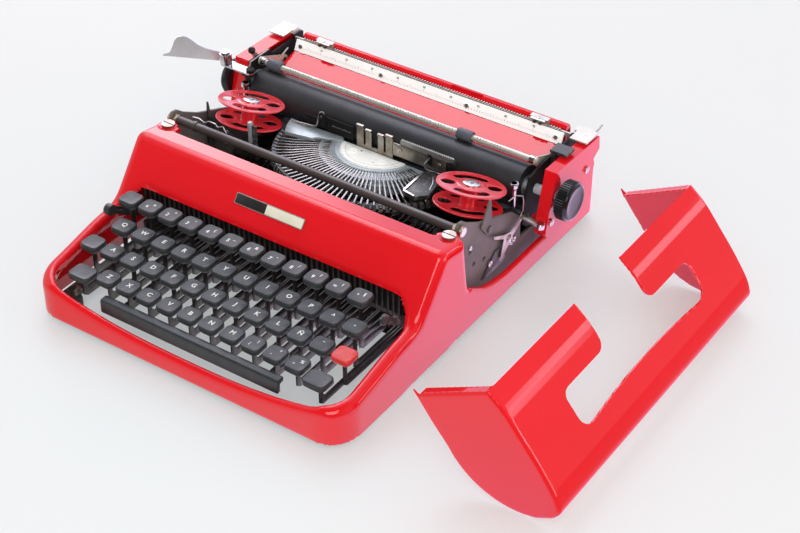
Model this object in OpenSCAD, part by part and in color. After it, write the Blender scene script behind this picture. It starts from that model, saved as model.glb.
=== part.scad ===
/* [Housing] */
// Width of the housing over its side walls
body_w = 282; // [280:1:284]
// Depth of the housing from front rim to rear wall
body_d = 350; // [348:1:354]
// Height of the front rim above the table
rim_z = 36; // [35:1:38]
// Gap between the housing's lower edge and the table
base_z = 7; // [6.5:0.5:7.5]
// Plan radius of the two front corners
corner_r = 27; // [24:1:30]
// Thickness of the pressed sheet
sheet = 2; // [1.6:0.2:2.2]

/* [Keyboard] */
// Distance from one key to the next
key_pitch = 19.05; // [19:0.05:19.1]
// Width of a square keytop
key_w = 15; // [14:0.5:15.5]
// Height of the rod that the key levers turn on
lever_z = 23; // [22:0.5:24]
// Distance of that rod from the front edge
lever_y = 232; // [230:1:234]
// Radius of the key lever rod
lever_rod_r = 2.5; // [2.4:0.1:2.6]

/* [Type basket] */
// Radius of the circle of typebar pivots
pivot_r = 40; // [39:0.5:41]
// Length of a typebar from pivot to type
bar_l = 43; // [42:0.5:43.5]
// Angle at which a resting typebar rises
bar_rise = -4; // [-5:1:-3]
// Number of typebars
bars = 43; // [43:1:43]

/* [Carriage] */
// Distance of the platen's axis from the front edge
platen_y = 266.5; // [266:0.5:267]
// Height of the platen's axis
platen_z = 69; // [69:0.5:69.5]
// Radius of the platen
platen_r = 16; // [15.5:0.5:16]
// Half width over the carriage's end covers
cover_x = 151; // [150:0.5:151.5]
// Radius of the platen knobs
knob_r = 15.5; // [15:0.5:15.5]

/* [Ribbon] */
// Radius of the spool flanges
spool_r = 26.5; // [26:0.5:26.5]
// Distance of the spools from the middle
spool_x = 103; // [102.5:0.5:103]
// Backward lean of the spools
spool_tilt = 17; // [16:1:18]

/* [Hidden] */
$fn = 48;
eps = 0.02;
run = 0.05;
hw = body_w / 2;
red = [0.88, 0.1, 0.13];
steel = [0.6, 0.59, 0.57];
dark = [0.16, 0.16, 0.17];

// Key rows: x of the first key, y and z of the middle of the keytop's top
row1 = [-108.6, 85.5, 69];
row2 = [-99.7, 65.9, 59];
row3 = [-113.5, 46.5, 50];
row4 = [-82.45, 27.4, 42.5];
lever_t = 1.2;
keytop_h = 7;
space_arms = [-66.8, 66.3];
shift_xy = [[-101.8, 21.3], [110.5, 21.7]];
shift_z = 43;
right_shift_arm = 112.8;

// Type basket: middle of the pivot circle and its lean
basket_c = [0, 250.5, 60];
basket_tilt = 6;
bar_from = 13;
bar_t = 1.2;
slot_w = 1.7;
struck = 21;
bar_pin_r = 0.9;

// Carriage: inner and outer faces of its plates
plate_x = 134;
plate_t = 2;
bail_pivot = [302, 76];
bail_rod = [272.3, 88.9];
bail_rod_r = 2.3;
feed_axis = [257.5, 48.7];
body_shift = 1.5;
release_pivot = [330, 86];
release_lever = [291, 52];
space_lever = [290, 62];
spring_c = [-95, 296];
escape_c = [0, 293];
return_pivot = [-128.4, 256];
hinge_c = [-153.5, 256];

function arc(cx, cy, r, a0, a1, n = 6) =
    [for (i = [0:n]) let (a = a0 + (a1 - a0) * i / n) [cx + r * cos(a), cy + r * sin(a)]];
function unit(v) = v / norm(v);
// Outline moved inwards by d, for an outline that runs clockwise
function inset(p, d) = let (n = len(p)) [
    for (i = [0:n - 1])
        let (u = unit(p[i] - p[(i + n - 1) % n]), v = unit(p[(i + 1) % n] - p[i]),
             m = [u[1] + v[1], -u[0] - v[0]], k = d * 2 / (m * m))
        p[i] + m * k
];
function rounded(w, l, r, n = 5) = concat(
    arc(w / 2 - r, l / 2 - r, r, 0, 90, n), arc(-w / 2 + r, l / 2 - r, r, 90, 180, n),
    arc(-w / 2 + r, -l / 2 + r, r, 180, 270, n), arc(w / 2 - r, -l / 2 + r, r, 270, 360, n));
// Outline of a flat link between two round ends
function link(a, ra, b, rb, n = 8) = let (t = atan2(b[1] - a[1], b[0] - a[0])) concat(
    arc(a[0], a[1], ra, t + 90, t + 270, n), arc(b[0], b[1], rb, t - 90, t + 90, n));
function bar_angle(i) = -(bar_from + (180 - 2 * bar_from) * i / (bars - 1));

// Side view of the housing: front rim, key well side, panel, dip and rear wall
side_line = concat(
    [[0, base_z]], arc(6, rim_z - 8, 6, 180, 100, 5),
    [[14, 35], [25, 36.8], [43, 40.5], [70, 46.5], [88, 49.2], [96, 52], [101, 56.5], [105, 61.5]],
    arc(133.3, 84.1, 9, 143, 81, 8),
    [[150, 90.6], [155, 88.5], [157, 85], [161.5, 46], [166, 41.5], [173, 37], [184, 31],
     [196, 27.5], [210, 25.5], [225, 25], [322, 25], [329, 29], [334, 37], [338, 47],
     [343, 53], [body_d, 54], [body_d, base_z]]);
// Top of the front rim, which dips behind the space bar's middle
dip_line = [for (x = [-126:9:126]) [x, 22 + 14.5 * pow(min(1, abs(x) / 126), 2.6)]];

module placed() { translate([0, -body_d / 2, 0]) children(); }
module pair() {
    children();
    mirror([1, 0, 0]) children();
}
// A side outline given in y and z, drawn out along x between two places
module sideways(x0, x1) {
    translate([x0, 0, 0]) rotate([90, 0, 90]) linear_extrude(x1 - x0) children();
}
module x_rod(y, z, r, x0, x1, fn = 32) {
    translate([x0, y, z]) rotate([0, 90, 0]) cylinder(r = r, h = x1 - x0, $fn = fn);
}
module basket_frame() { translate(basket_c) rotate([-basket_tilt, 0, 0]) children(); }
module spool_frame(s) { translate([s * spool_x, 220, 68]) rotate([-spool_tilt, 0, 0]) children(); }

module plan(d = 0) {
    r = corner_r - d;
    q = 10 - d;
    polygon(concat(
        arc(hw - corner_r, corner_r, r, 270, 360, 8), arc(hw - 10, body_d - 10, q, 0, 90, 5),
        arc(-hw + 10, body_d - 10, q, 90, 180, 5), arc(-hw + corner_r, corner_r, r, 180, 270, 8)));
}
module key_well(d = 0) {
    y0 = 8;
    y1 = 104;
    translate([0, (y0 + y1) / 2]) polygon(rounded(262 + 2 * d, y1 - y0 + 2 * d, 20 + d));
}
// All that lies below the dipping front rim, lowered by d, and further back below top
module below_rim(d = 0, top = 140) {
    translate([0, 14, 0]) rotate([90, 0, 0]) linear_extrude(20)
        polygon(concat([[-200, -5], [-200, 60], [-126, 60]], [for (p = dip_line) p - [0, d]],
                       [[126, 60], [200, 60], [200, -5]]));
    translate([-200, 13.9, -5]) cube([400, 400, top + 5]);
}

module housing() color(red) translate([body_shift, 0, 0]) {
    difference() {
        intersection() {
            sideways(-hw, hw) polygon(side_line);
            linear_extrude(120) plan();
            below_rim();
        }
        difference() {
            intersection() {
                sideways(-hw, hw) polygon(concat([[sheet, -1]], [for (p = inset(side_line, sheet))
                    if (p[1] > base_z + sheet + 1) p], [[body_d - sheet, -1]]));
                translate([0, 0, -1]) linear_extrude(120) plan(sheet);
                below_rim(sheet);
            }
            // Down-turned lip round the key well
            difference() {
                translate([0, 0, 6]) linear_extrude(84) key_well(sheet);
                below_rim(9, rim_z - 9);
                translate([-hw, 92, 0]) cube([body_w, 36, 120]);
            }
        }
        translate([0, 0, -1]) linear_extrude(120) key_well();
        translate([-119, 148, 0]) cube([238, 30, 120]);
        translate([-hw + sheet, 160.5, 0]) cube([body_w - 2 * sheet, 184, 120]);
        // Way through for the side frames
        translate([-136, 152, 0]) cube([272, 24, 85.5]);
        pair() translate([128.5, 152.8, 80]) {
            cylinder(r = 2.6, h = 20);
            translate([0, 0, 10.4]) cylinder(r = 7.2, h = 9);
        }
    }
    // Raised seats of the two screws
    pair() translate([128.5, 152.8, 85.7]) difference() {
        cylinder(r = 7.2, h = 4.7);
        translate([0, 0, -1]) cylinder(r = 2.6, h = 8);
    }
}

module nameplate() color([0.9, 0.86, 0.74])
    translate([-3, 118.2, 79.8]) rotate([53, 0, 0]) translate([0, 0, 0.05])
    linear_extrude(0.8) polygon(rounded(62, 8.5, 0.8, 3));

module slotted_head(r, h) {
    difference() {
        cylinder(r = r, h = h);
        translate([-r, -0.5, h - 0.7]) cube([2 * r, 1, 1]);
    }
}
module housing_screws() color([0.75, 0.73, 0.68]) {
    translate([body_shift, 0, 0]) pair() translate([128.5, 152.8, 90.4]) {
        slotted_head(5.2, 2.2);
        translate([0, 0, -4.9]) cylinder(r = 2.4, h = 5);
    }
}

module rubber_feet() color(dark) {
    for (y = [24, 322]) pair() translate([120, y, 0]) cylinder(r = 8, h = base_z + 1);
}

module side_plate() {
    sideways(130, 132) difference() {
        polygon([[124, 10], [124, 46], [146, 74], [156, 85.4], [160.2, 85.4], [160.2, 94],
                 [163, 96.4], [168, 95.5], [175, 90], [192, 80.5], [220, 70], [238, 62.5],
                 [249.6, 52], [249.6, 33], [322, 33], [330, 24], [330, 10]]);
        translate([164.4, 89.5]) circle(r = 3.3 + run);
        for (p = [[178, 62], [198, 44], [184, 48], [140, 50], [236, 44], [222, 34]])
            translate(p) circle(r = 2.2);
    }
}
module side_frames() color([0.42, 0.4, 0.38]) pair() {
    side_plate();
    // Lug below the housing's screw
    translate([121.5, 147, 83.4]) cube([13.5, 7, 2]);
    // Stud with a head for the pointed lever
    x_rod(201.9, 69.2, 1.6, 131, 134);
    x_rod(201.9, 69.2, 3, 134 - eps, 135);
}

module base_frame() color(dark) {
    z0 = base_z + 1;
    pair() {
        translate([117.5, 12, z0]) cube([12.5, 324, 2]);
        translate([117.5, 312, z0 + 2 - eps]) cube([12.5, 16, 8]);
        translate([128, 118, z0]) cube([2, 218, 12]);
    }
    for (y = [128, 312, 334]) translate([-130, y, z0]) cube([260, 9, 2]);
    translate([-118, 5, z0]) cube([236, 9, 2]);
    // Bracket of the spring drum, the escapement and the bell
    for (c = [[spring_c[0], spring_c[1]], [escape_c[0], escape_c[1]], [70, 290]])
        translate([c[0] - 5, c[1] - 5, z0]) cube([10, 340 - c[1], 2]);
    translate([spring_c[0], spring_c[1], z0]) cylinder(r = 2, h = 17);
    translate([escape_c[0], escape_c[1], z0]) cylinder(r = 2, h = 18);
}

module front_tie_rod() color([0.25, 0.24, 0.24]) {
    x_rod(164.4, 89.5, 3.3, -133, 133);
    pair() for (x = [127, 132 + eps]) x_rod(164.4, 89.5, 4.6, x, x + 2.9, 6);
}

module key_comb() color(steel) {
    teeth = [for (k = [-6:6], c = [3.25, 9.25, 17.2]) let (x = k * key_pitch + c)
        if (abs(x) < 123 && min([for (s = [space_arms[0], space_arms[1], right_shift_arm])
            abs(x - s)]) > 2.4) x];
    translate([-127.9, 130, base_z + 3]) cube([255.8, 5, 2]);
    for (x = teeth) translate([x - 0.5, 130, base_z + 4]) cube([1, 5, 24]);
}

module key_lever_rod() color(steel) x_rod(lever_y, lever_z, lever_rod_r, -130, 130);

module spool_decks() color(dark) pair() {
    spool_frame(1) difference() {
        union() {
            translate([0, 0, -4]) cylinder(r = 17, h = 1.6);
            translate([0, -7, -4]) cube([26, 14, 1.6]);
            translate([19.5, 6.9, -4]) cube([6, 24.3, 1.6]);
        }
        translate([0, 0, -6]) cylinder(r = 2.5 + run, h = 8);
    }
    // Headed pin that leads the ribbon to the print point
    translate([126.4, 247, 56.2]) {
        cylinder(r = 1.3, h = 24.6);
        translate([0, 0, 24.5]) cylinder(r = 2.5, h = 1.3);
    }
}

// Cross bar below the platen with the two toothed line guides beside the print point
module card_scale() color(steel) {
    translate([-130, 248.4, 46]) cube([260, 1.2, 5]);
    pair() {
        translate([52, 247.5, 46]) cube([4, 1.2, 31]);
        translate([17.6, 246.4, 67]) cube([48.4, 1.2, 12]);
        translate([25, 246.4, 78.9]) cube([48, 1.2, 2.2]);
        for (i = [0:20]) translate([25.4 + i * 2.24, 246.4, 81]) cube([1.1, 1.2, 2]);
    }
    translate([72.4, 246.5, 79.8]) rotate([90, 0, 0]) cylinder(r = 3.3, h = 6);
}

module carriage_rails() color(steel) for (y = [276, 308])
    sideways(-130, 130) translate([y, 0]) polygon([[-3, 26], [-3, 33], [3, 33], [3, 26]]);

module bell() color([0.72, 0.66, 0.5]) translate([70, 290, base_z + 3]) {
    rotate_extrude() polygon([[0, 0], [4, 0], [4, 2], [13, 6], [15, 14], [14, 14], [12, 7],
                              [3.5, 3.5], [0, 3.5]]);
}

module segment() color([0.66, 0.68, 0.69]) {
    basket_frame() {
        difference() {
            intersection() {
                union() {
                    translate([0, 0, -10]) cylinder(r = 50, h = 8, $fn = 96);
                    translate([0, 0, -10]) cylinder(r = 46, h = 11, $fn = 96);
                }
                translate([-60, -60, -20]) cube([120, 56, 40]);
            }
            for (i = [0:bars - 1]) rotate([0, 0, bar_angle(i)])
                translate([33, -slot_w / 2, -6]) cube([20, slot_w, 10]);
        }
        // Pivot wire of the typebars
        for (i = [0:bars - 1]) rotate([0, 0, bar_angle(i)]) translate([pivot_r, 1.2, 0])
            rotate([90, 0, 0]) cylinder(r = bar_pin_r, h = 2.4, $fn = 16);
        // Arms that carry the casting at both sides
        pair() translate([0, 0, -5]) linear_extrude(4.8)
            polygon([[44, -4], [44, -8], [50, -9.3], [86, -17.6], [94, -13.5], [94, -4]]);
    }
}

module segment_face() color([0.9, 0.9, 0.88]) basket_frame() {
    intersection() {
        translate([0, 0, 1]) cylinder(r = 29.5, h = 1, $fn = 72);
        translate([-40, -40, 0]) cube([80, 35.5, 10]);
    }
    for (x = [-14, 14]) translate([x, -13, 2 - eps]) slotted_head(3.4, 1.1);
}

module type_rest() color(dark) basket_frame() {
    rotate([0, 0, -165]) rotate_extrude(angle = 150, $fn = 96)
        polygon([[70, -5.2], [78.5, -5.6], [78.5, -7.4], [70, -7]]);
    pair() rotate([0, 0, -14.83]) translate([50, -0.8, -9.5]) cube([23, 1.6, 4]);
}

// One bar in its own plane: pivot at the origin, rising outwards
module typebar_shape() {
    rotate([0, -bar_rise, 0]) difference() {
        union() {
            translate([0, bar_t / 2, 0]) rotate([90, 0, 0]) linear_extrude(bar_t)
                polygon([[-2.6, -2], [4, -2.6], [12, -1], [27, -1.8], [bar_l, -1.2], [bar_l, 1.4],
                         [27, 0.8], [12, 1.6], [4, 1.6], [-2.6, 2]]);
            translate([bar_l, 0, 0]) rotate([0, -24, 0]) translate([-3.2, -1.7, -2.6])
                cube([3.4, 3.4, 5.6]);
        }
        rotate([90, 0, 0]) translate([0, 0, -5]) cylinder(r = bar_pin_r + run, h = 10, $fn = 16);
    }
}
module typebars() color([0.7, 0.69, 0.66]) basket_frame()
    for (i = [0:bars - 1]) if (i != struck)
        rotate([0, 0, bar_angle(i)]) translate([pivot_r, 0, 0]) typebar_shape();
module struck_typebar() color([0.7, 0.69, 0.66]) basket_frame()
    rotate([0, 0, bar_angle(struck)]) translate([pivot_r, 0, 0]) typebar_shape();

module ribbon_vibrator() color(steel) {
    translate([-17, 246.9, 61.5]) cube([34, 1.2, 3.9]);
    translate([-3, 246.9, 36]) cube([6, 1.2, 25.6]);
    pair() {
        translate([3, 246.9, 65.3]) cube([5.6, 1.2, 15.2]);
        translate([3, 245.9, 78.6]) cube([5.6, 1.1, 1.9]);
        translate([10.4, 246.9, 65.3]) cube([6.6, 1.2, 17.2]);
        translate([10.4, 245.9, 80.5]) cube([6.6, 1.1, 2]);
    }
}

// Keytop with its top face's middle at the origin
module keytop(w = key_w, l = key_w, h = keytop_h) {
    translate([0, 0, -3]) linear_extrude(3) polygon(rounded(w, l, 3.4, 3));
    translate([0, 0, -h]) linear_extrude(h - 3 + eps) polygon(rounded(w - 3.4, l - 3, 2.4, 3));
}
// Flat steel lever from the rod to a keytop whose underside is at y, z
module key_lever(x, y, z, step = 0) {
    sideways(x - lever_t / 2, x + lever_t / 2) difference() {
        union() {
            translate([lever_y, lever_z]) circle(r = 4.4);
            polygon([[lever_y, lever_z + 3], [y + 5, lever_z + 3], [y + 2, lever_z + 6],
                     [y + 2, z], [y - 2, z], [y - 2, lever_z], [y + 2, lever_z - 3],
                     [lever_y, lever_z - 3]]);
        }
        translate([lever_y, lever_z]) circle(r = lever_rod_r + run);
    }
    if (step != 0) translate([min(x, x - step) - lever_t / 2, y - 2, z - 3])
        cube([abs(step) + lever_t, 4, 3]);
}
module key(row, i) {
    x = row[0] + i * key_pitch;
    translate([x, row[1], row[2]]) keytop();
    key_lever(x, row[1], row[2] - keytop_h);
}
module number_row_keys() color(dark) for (i = [1:11]) key(row1, i);
module top_row_keys() color(dark) for (i = [0:10]) key(row2, i);
module home_row_keys() color(dark) for (i = [1:11]) if (i != 5) key(row3, i);
module bottom_row_keys() color(dark) for (i = [0:9]) key(row4, i);
module margin_release_key() color(dark) key(row1, 0);
module backspace_key() color(dark) key(row2, 11);
module shift_lock_key() color(dark) key(row3, 0);
module tab_key() color(red) key(row3, 12);
module letter_g_key() color(dark) key(row3, 5);
module shift_key(p, arm) {
    translate([p[0], p[1], shift_z]) keytop(19, 16);
    key_lever(arm, p[1], shift_z - keytop_h, arm - p[0]);
}
module left_shift_key() color(dark) shift_key(shift_xy[0], shift_xy[0][0]);
module right_shift_key() color(dark) shift_key(shift_xy[1], right_shift_arm);
module space_bar() color(dark) {
    sideways(-76.5, 85) polygon([[9.7, 24.5], [9.9, 33.5], [11.2, 35], [15.4, 35.6], [16.8, 34.6],
                                 [17, 33], [12.4, 32.4], [12, 24.5]]);
    for (x = space_arms) key_lever(x, 14.2, 30);
}

module colour_selector() color(dark) {
    sideways(122, 123.6) difference() {
        polygon(link([110, 40], 4, [83, 58], 3));
        translate([110, 40]) circle(r = 1.5 + run);
    }
    translate([120.8, 84, 57.6]) rotate([0, 90, 0]) cylinder(r = 4.2, h = 2.8);
}
module tab_set_lever() color(dark) {
    sideways(-123.6, -122) difference() {
        polygon(link([104, 40], 4, [75, 59], 2.4));
        translate([104, 40]) circle(r = 1.5 + run);
    }
    translate([-124, 75, 59]) rotate([0, 90, 0]) cylinder(r = 4.5, h = 5);
}

// Sensing lever beside the left spool, pointed at the top
module left_ribbon_lever() color(dark)
    translate([-125.3, 200, 0]) rotate([90, 0, 0]) linear_extrude(1.2) difference() {
        polygon(concat(arc(0, 52, 4, 170, 370, 10), [[3.6, 64], [-1, 88], [-2.2, 88], [-3.6, 64]]));
        translate([0, 52]) circle(r = 1.6 + run);
    }
// Pointed lever on the right frame's outside
module right_ribbon_lever() color(steel) sideways(132.3, 133.7) difference() {
    polygon(concat(arc(201.9, 69.2, 4.4, 215, 375, 10), [[205.4, 74], [203.2, 94.4], [201.4, 94.4],
                                                         [190.4, 76.5]]));
    translate([201.9, 69.2]) circle(r = 1.6 + run);
}

module kidney(r, w, a) {
    rotate([0, 0, -a]) rotate_extrude(angle = 2 * a, $fn = 48)
        translate([r - w / 2, -5]) square([w, 10]);
    for (t = [-a, a]) rotate([0, 0, t]) translate([r, 0, -5]) cylinder(r = w / 2, h = 10, $fn = 24);
}
module spool(s) {
    spool_frame(s) {
        for (z = [0, 15.4]) translate([0, 0, z]) difference() {
            cylinder(r = spool_r, h = 1, $fn = 72);
            for (a = [32, 212]) rotate([0, 0, a]) {
                translate([17.5, 0, -1]) cylinder(r = 4.2, h = 4, $fn = 28);
                rotate([0, 0, 90]) kidney(17.5, 5, 24);
            }
            translate([0, 0, -1]) cylinder(r = 2.5, h = 4);
        }
        difference() {
            translate([0, 0, 1 - eps]) cylinder(r = 9, h = 14.4 + 2 * eps);
            translate([0, 0, -1]) cylinder(r = 2.5, h = 20);
        }
        translate([0, 0, -8]) cylinder(r = 2.5, h = 24.5);
        translate([0, 0, 16.4]) cylinder(r = 6.4, h = 1.7, $fn = 40);
    }
}
module left_spool() color(red) spool(-1);
module right_spool() color(red) spool(1);

module mainspring_drum() color(steel) translate([spring_c[0], spring_c[1], base_z + 4]) difference() {
    union() {
        cylinder(r = 18, h = 13);
        cylinder(r = 20, h = 1.2);
        translate([0, 0, 11.8]) cylinder(r = 20, h = 1.2);
    }
    translate([0, 0, -1]) cylinder(r = 2 + run, h = 20);
}
module escapement_wheel() color(steel) translate([escape_c[0], escape_c[1], base_z + 12]) {
    difference() {
        union() {
            cylinder(r = 12, h = 1.5);
            cylinder(r = 5, h = 5);
            for (i = [0:23]) rotate([0, 0, i * 15]) linear_extrude(1.5)
                polygon([[11.5, 1.4], [14, 1.4], [11.5, -1.4]]);
        }
        translate([0, 0, -1]) cylinder(r = 2 + run, h = 20);
    }
}

module end_plate(top) sideways(plate_x - plate_t, plate_x) difference() {
    polygon(concat([[250, 46], [254, 41], [266, 37], [322, 37], [324, 60], [327, 84], [314, 87],
                    [290, 87]], top, [[258, 83], [250.5, 62]]));
    translate([platen_y, platen_z]) circle(r = 4 + run);
    translate(feed_axis) circle(r = 2 + run);
    translate([295.5, 82.4]) circle(r = 1.6);
}
module carriage_frame() color(steel) {
    end_plate([[272, 86]]);
    // The left plate rises beside the line space lever
    mirror([1, 0, 0]) end_plate([[287.5, 91.4], [262.2, 91.4], [261.4, 85]]);
    translate([-plate_x, 268, 35]) cube([2 * plate_x, 52, 2.02]);
    pair() {
        // Pins that the paper bail turns on
        x_rod(bail_pivot[0], bail_pivot[1], 1.8, 128.6, plate_x - 1);
        // Shoes on the rails
        for (y = [276, 308]) translate([96, y - 3, 33.4]) cube([24, 6, 1.62]);
    }
    // Pins of the release tabs, of the paper release and of the line space lever
    pair() x_rod(release_pivot[0], release_pivot[1], 1.5, 131.9, plate_x + 1.8);
    pair() translate([131.9, 320, 76]) cube([2.1, 12, 12]);
    x_rod(release_lever[0], release_lever[1], 1.5, plate_x - 1, plate_x + 2.4);
    x_rod(space_lever[0], space_lever[1], 1.5, -plate_x - 1.8, -plate_x + 1);
    // Bracket, post and pin of the return lever
    translate([-plate_x, 251.6, 84]) cube([9.6, 8, 1.6]);
    translate([-130.6, 251.6, 75]) cube([4.6, 1.5, 9.1]);
    translate([return_pivot[0], return_pivot[1], 85]) cylinder(r = 2, h = 3.4);
    translate([return_pivot[0], return_pivot[1], 87.8]) cylinder(r = 3.4, h = 1.6);
}

cover_line = [[252, 42], [253, 47], [264, 90.6], [328.5, 89], [330, 77.5], [321.5, 72.5],
              [321.5, 38], [262, 36], [254.5, 38]];
module end_cover(x0) difference() {
    sideways(x0, cover_x) polygon(cover_line);
    sideways(130, cover_x - 1.5) polygon(inset(cover_line, 1.5));
    sideways(130, cover_x - 1.5) polygon([[258, 30], [258, 45], [317, 45], [317, 30]]);
    x_rod(platen_y, platen_z, 5, 130, 170);
}
module end_covers() color(red) translate([body_shift, 0, 0]) {
    end_cover(141);
    mirror([1, 0, 0]) end_cover(137.6);
    pair() for (p = [[258.8, 49.7], [310, 68.8]]) {
        x_rod(p[0], p[1], 2.8, cover_x - eps, cover_x + 0.8, 24);
        x_rod(p[0], p[1], 1.8, plate_x + 2, cover_x - 1, 24);
    }
}

module rear_bar() color(red) difference() {
    sideways(-126, 126) polygon([[324, 66], [324, 88.3], [326, 90.3], [329, 90.3], [331, 86.4],
                                 [331, 66], [329.5, 66], [329.5, 86.4], [325.5, 86.4],
                                 [325.5, 66]]);
    translate([20, 320, 86.9]) cube([29, 7, 6]);
}

// Red sheet that leads the paper down behind the platen
module paper_table() color(red) {
    in_line = concat(arc(platen_y, platen_z, 19, -55, 0, 6), [[289, 73], [313, 79.6]]);
    out_line = concat([[313.6, 78.3]], [[289.6, 71.8]], arc(platen_y, platen_z, 20.3, 0, -55, 6));
    sideways(-127.5, 127.5) polygon(concat(in_line, out_line));
    for (x = [-80, 80]) translate([x - 6, 308, 37.03]) cube([12, 1.4, 40.8]);
    for (x = [-80, 80]) translate([x - 6, 308, 60]) cube([12, 17, 1.4]);
}
module paper_scale() color([0.93, 0.93, 0.9]) {
    sideways(-127.5, 127.5) polygon([[313.2, 79.8], [317.4, 88.6], [318.6, 88.1], [314.4, 79.2]]);
    for (x = [-122, -41, 41, 122]) translate([x, 315.3, 84.2]) rotate([64.5, 0, 0])
        translate([0, 0, -0.2]) slotted_head(1.8, 1.1);
}

module margin_rack() color(steel) {
    sideways(-131.9, 131.9) polygon([[320.2, 84], [320.2, 88], [321.6, 88], [321.6, 84]]);
    for (i = [-48:48]) translate([i * 2.54 - 0.6, 320.2, 87.9]) cube([1.2, 1.4, 1.3]);
}
module margin_stop() {
    difference() {
        translate([-8, 319.1, 82.6]) cube([16, 3.6, 9.4]);
        translate([-9, 319.9, 83.7]) cube([18, 2, 5.8]);
    }
    translate([-8, 318.9, 91.9]) cube([16, 4.8, 1.3]);
}
module left_margin_stop() color(steel) translate([-101, 0, 0]) margin_stop();
module right_margin_stop() color(steel) translate([104, 0, 0]) margin_stop();

module platen() color([0.12, 0.12, 0.13]) difference() {
    x_rod(platen_y, platen_z, platen_r, -125.5, 126, 96);
    x_rod(platen_y, platen_z, 8, -130, 130);
}
module platen_shaft() color(steel) {
    x_rod(platen_y, platen_z, 8, -125, 125);
    x_rod(platen_y, platen_z, 4, -156.8, 167);
    sideways(-131.2, -129.2) difference() {
        translate([platen_y, platen_z]) circle(r = 13);
        for (i = [0:23]) translate([platen_y, platen_z]) rotate(i * 15)
            polygon([[11, 0], [14, 1.8], [14, -0.2]]);
    }
}
// A knob 8 mm thick, with its inner face at x
module knob(x) {
    difference() {
        translate([x, platen_y, platen_z]) rotate([0, 90, 0]) rotate_extrude($fn = 72)
            polygon([[0, 0.4], [knob_r - 1.4, 0.4], [knob_r, 1.6], [knob_r, 5.4], [knob_r - 2.6, 8],
                     [0, 8]]);
        x_rod(platen_y, platen_z, 4, x - 1, x + 7);
    }
}
module platen_knobs() color(dark) {
    knob(160.4);
    mirror([1, 0, 0]) knob(149.9);
    // Collar between the right cover and its knob
    difference() {
        x_rod(platen_y, platen_z, 6.4, 153.6, 160.8 + eps);
        x_rod(platen_y, platen_z, 4, 150, 170);
    }
}

module feed_rollers() color(dark) {
    x_rod(feed_axis[0], feed_axis[1], 2, -133.5, 133.5);
    for (x = [-96, -44, 8, 60]) x_rod(feed_axis[0], feed_axis[1], 5.8, x, x + 36);
}

module paper_bail() color([0.8, 0.8, 0.8]) {
    x_rod(bail_rod[0], bail_rod[1], bail_rod_r, -131.3, 131.3);
    pair() sideways(129.2, 130.6) difference() {
        polygon(concat(arc(bail_pivot[0], bail_pivot[1], 4.2, -130, 90, 8),
                       arc(bail_rod[0], bail_rod[1], 3.4, 80, 240, 8)));
        translate(bail_pivot) circle(r = 1.8 + run);
    }
}
module bail_rollers() color([0.25, 0.25, 0.27]) for (x = [-121.5, 60.5]) difference() {
    x_rod(bail_rod[0], bail_rod[1], 4.4, x, x + 13);
    x_rod(bail_rod[0], bail_rod[1], bail_rod_r + run, x - 1, x + 20);
}

module paper_release_lever() color(dark) {
    sideways(134.6, 136) difference() {
        polygon(link(release_lever, 4, [288, 90.6], 2));
        translate(release_lever) circle(r = 1.5 + run);
    }
    translate([134.6, 284, 92.1]) cube([14.4, 12, 2.2]);
}

module release_tab(x) {
    y = release_pivot[0];
    z = release_pivot[1];
    translate([x, 309, 91.4]) cube([15, 20, 1.2]);
    translate([134.3, 321, 91.4]) cube([4, 7, 1.2]);
    sideways(134.3, 135.5) difference() {
        polygon(concat(arc(y, z, 3.6, 200, 400, 10), [[y - 1, 91.6], [y - 12, 91.6]]));
        translate([y, z]) circle(r = 1.5 + run);
    }
}
module left_release_tab() color(steel) mirror([1, 0, 0]) release_tab(135);
module right_release_tab() color(steel) release_tab(137);

module line_space_lever() color(steel) {
    sideways(-135.6, -134.3) difference() {
        polygon(link(space_lever, 4, [271.5, 94], 1.4));
        translate(space_lever) circle(r = 1.5 + run);
    }
    translate([-137.6, 270.3, 96.8]) sphere(r = 2.9, $fn = 28);
}

module return_arm() color([0.8, 0.8, 0.8]) {
    difference() {
        translate([0, 0, 86]) linear_extrude(1.4) polygon(link(return_pivot, 4.6, hinge_c, 4.6));
        translate([return_pivot[0], return_pivot[1], 80]) cylinder(r = 2 + run, h = 20);
    }
    translate([hinge_c[0], hinge_c[1], 87.3]) cylinder(r = 1.8, h = 9.3);
    translate([hinge_c[0], hinge_c[1], 96.3]) cylinder(r = 3.6, h = 1.2);
}
// Thumb plate that folds on the end of the arm
paddle_line = [[3, 88.2], [3, 96], [10, 97], [17, 98.4], [23, 101], [28, 105], [32, 107.4],
    [35.5, 108], [39, 107], [42, 103.5], [44.5, 97], [47, 91.5], [53, 89], [53, 88.2]];
module return_paddle() color([0.8, 0.8, 0.8]) difference() {
    translate([hinge_c[0], hinge_c[1], 0]) rotate([0, 0, 204.9]) {
        rotate([90, 0, 0]) linear_extrude(1.4) polygon(paddle_line);
        translate([0, 0, 87.7]) cylinder(r = 5.2, h = 8.3);
    }
    translate([hinge_c[0], hinge_c[1], 80]) cylinder(r = 1.8 + run, h = 30);
}

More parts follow.
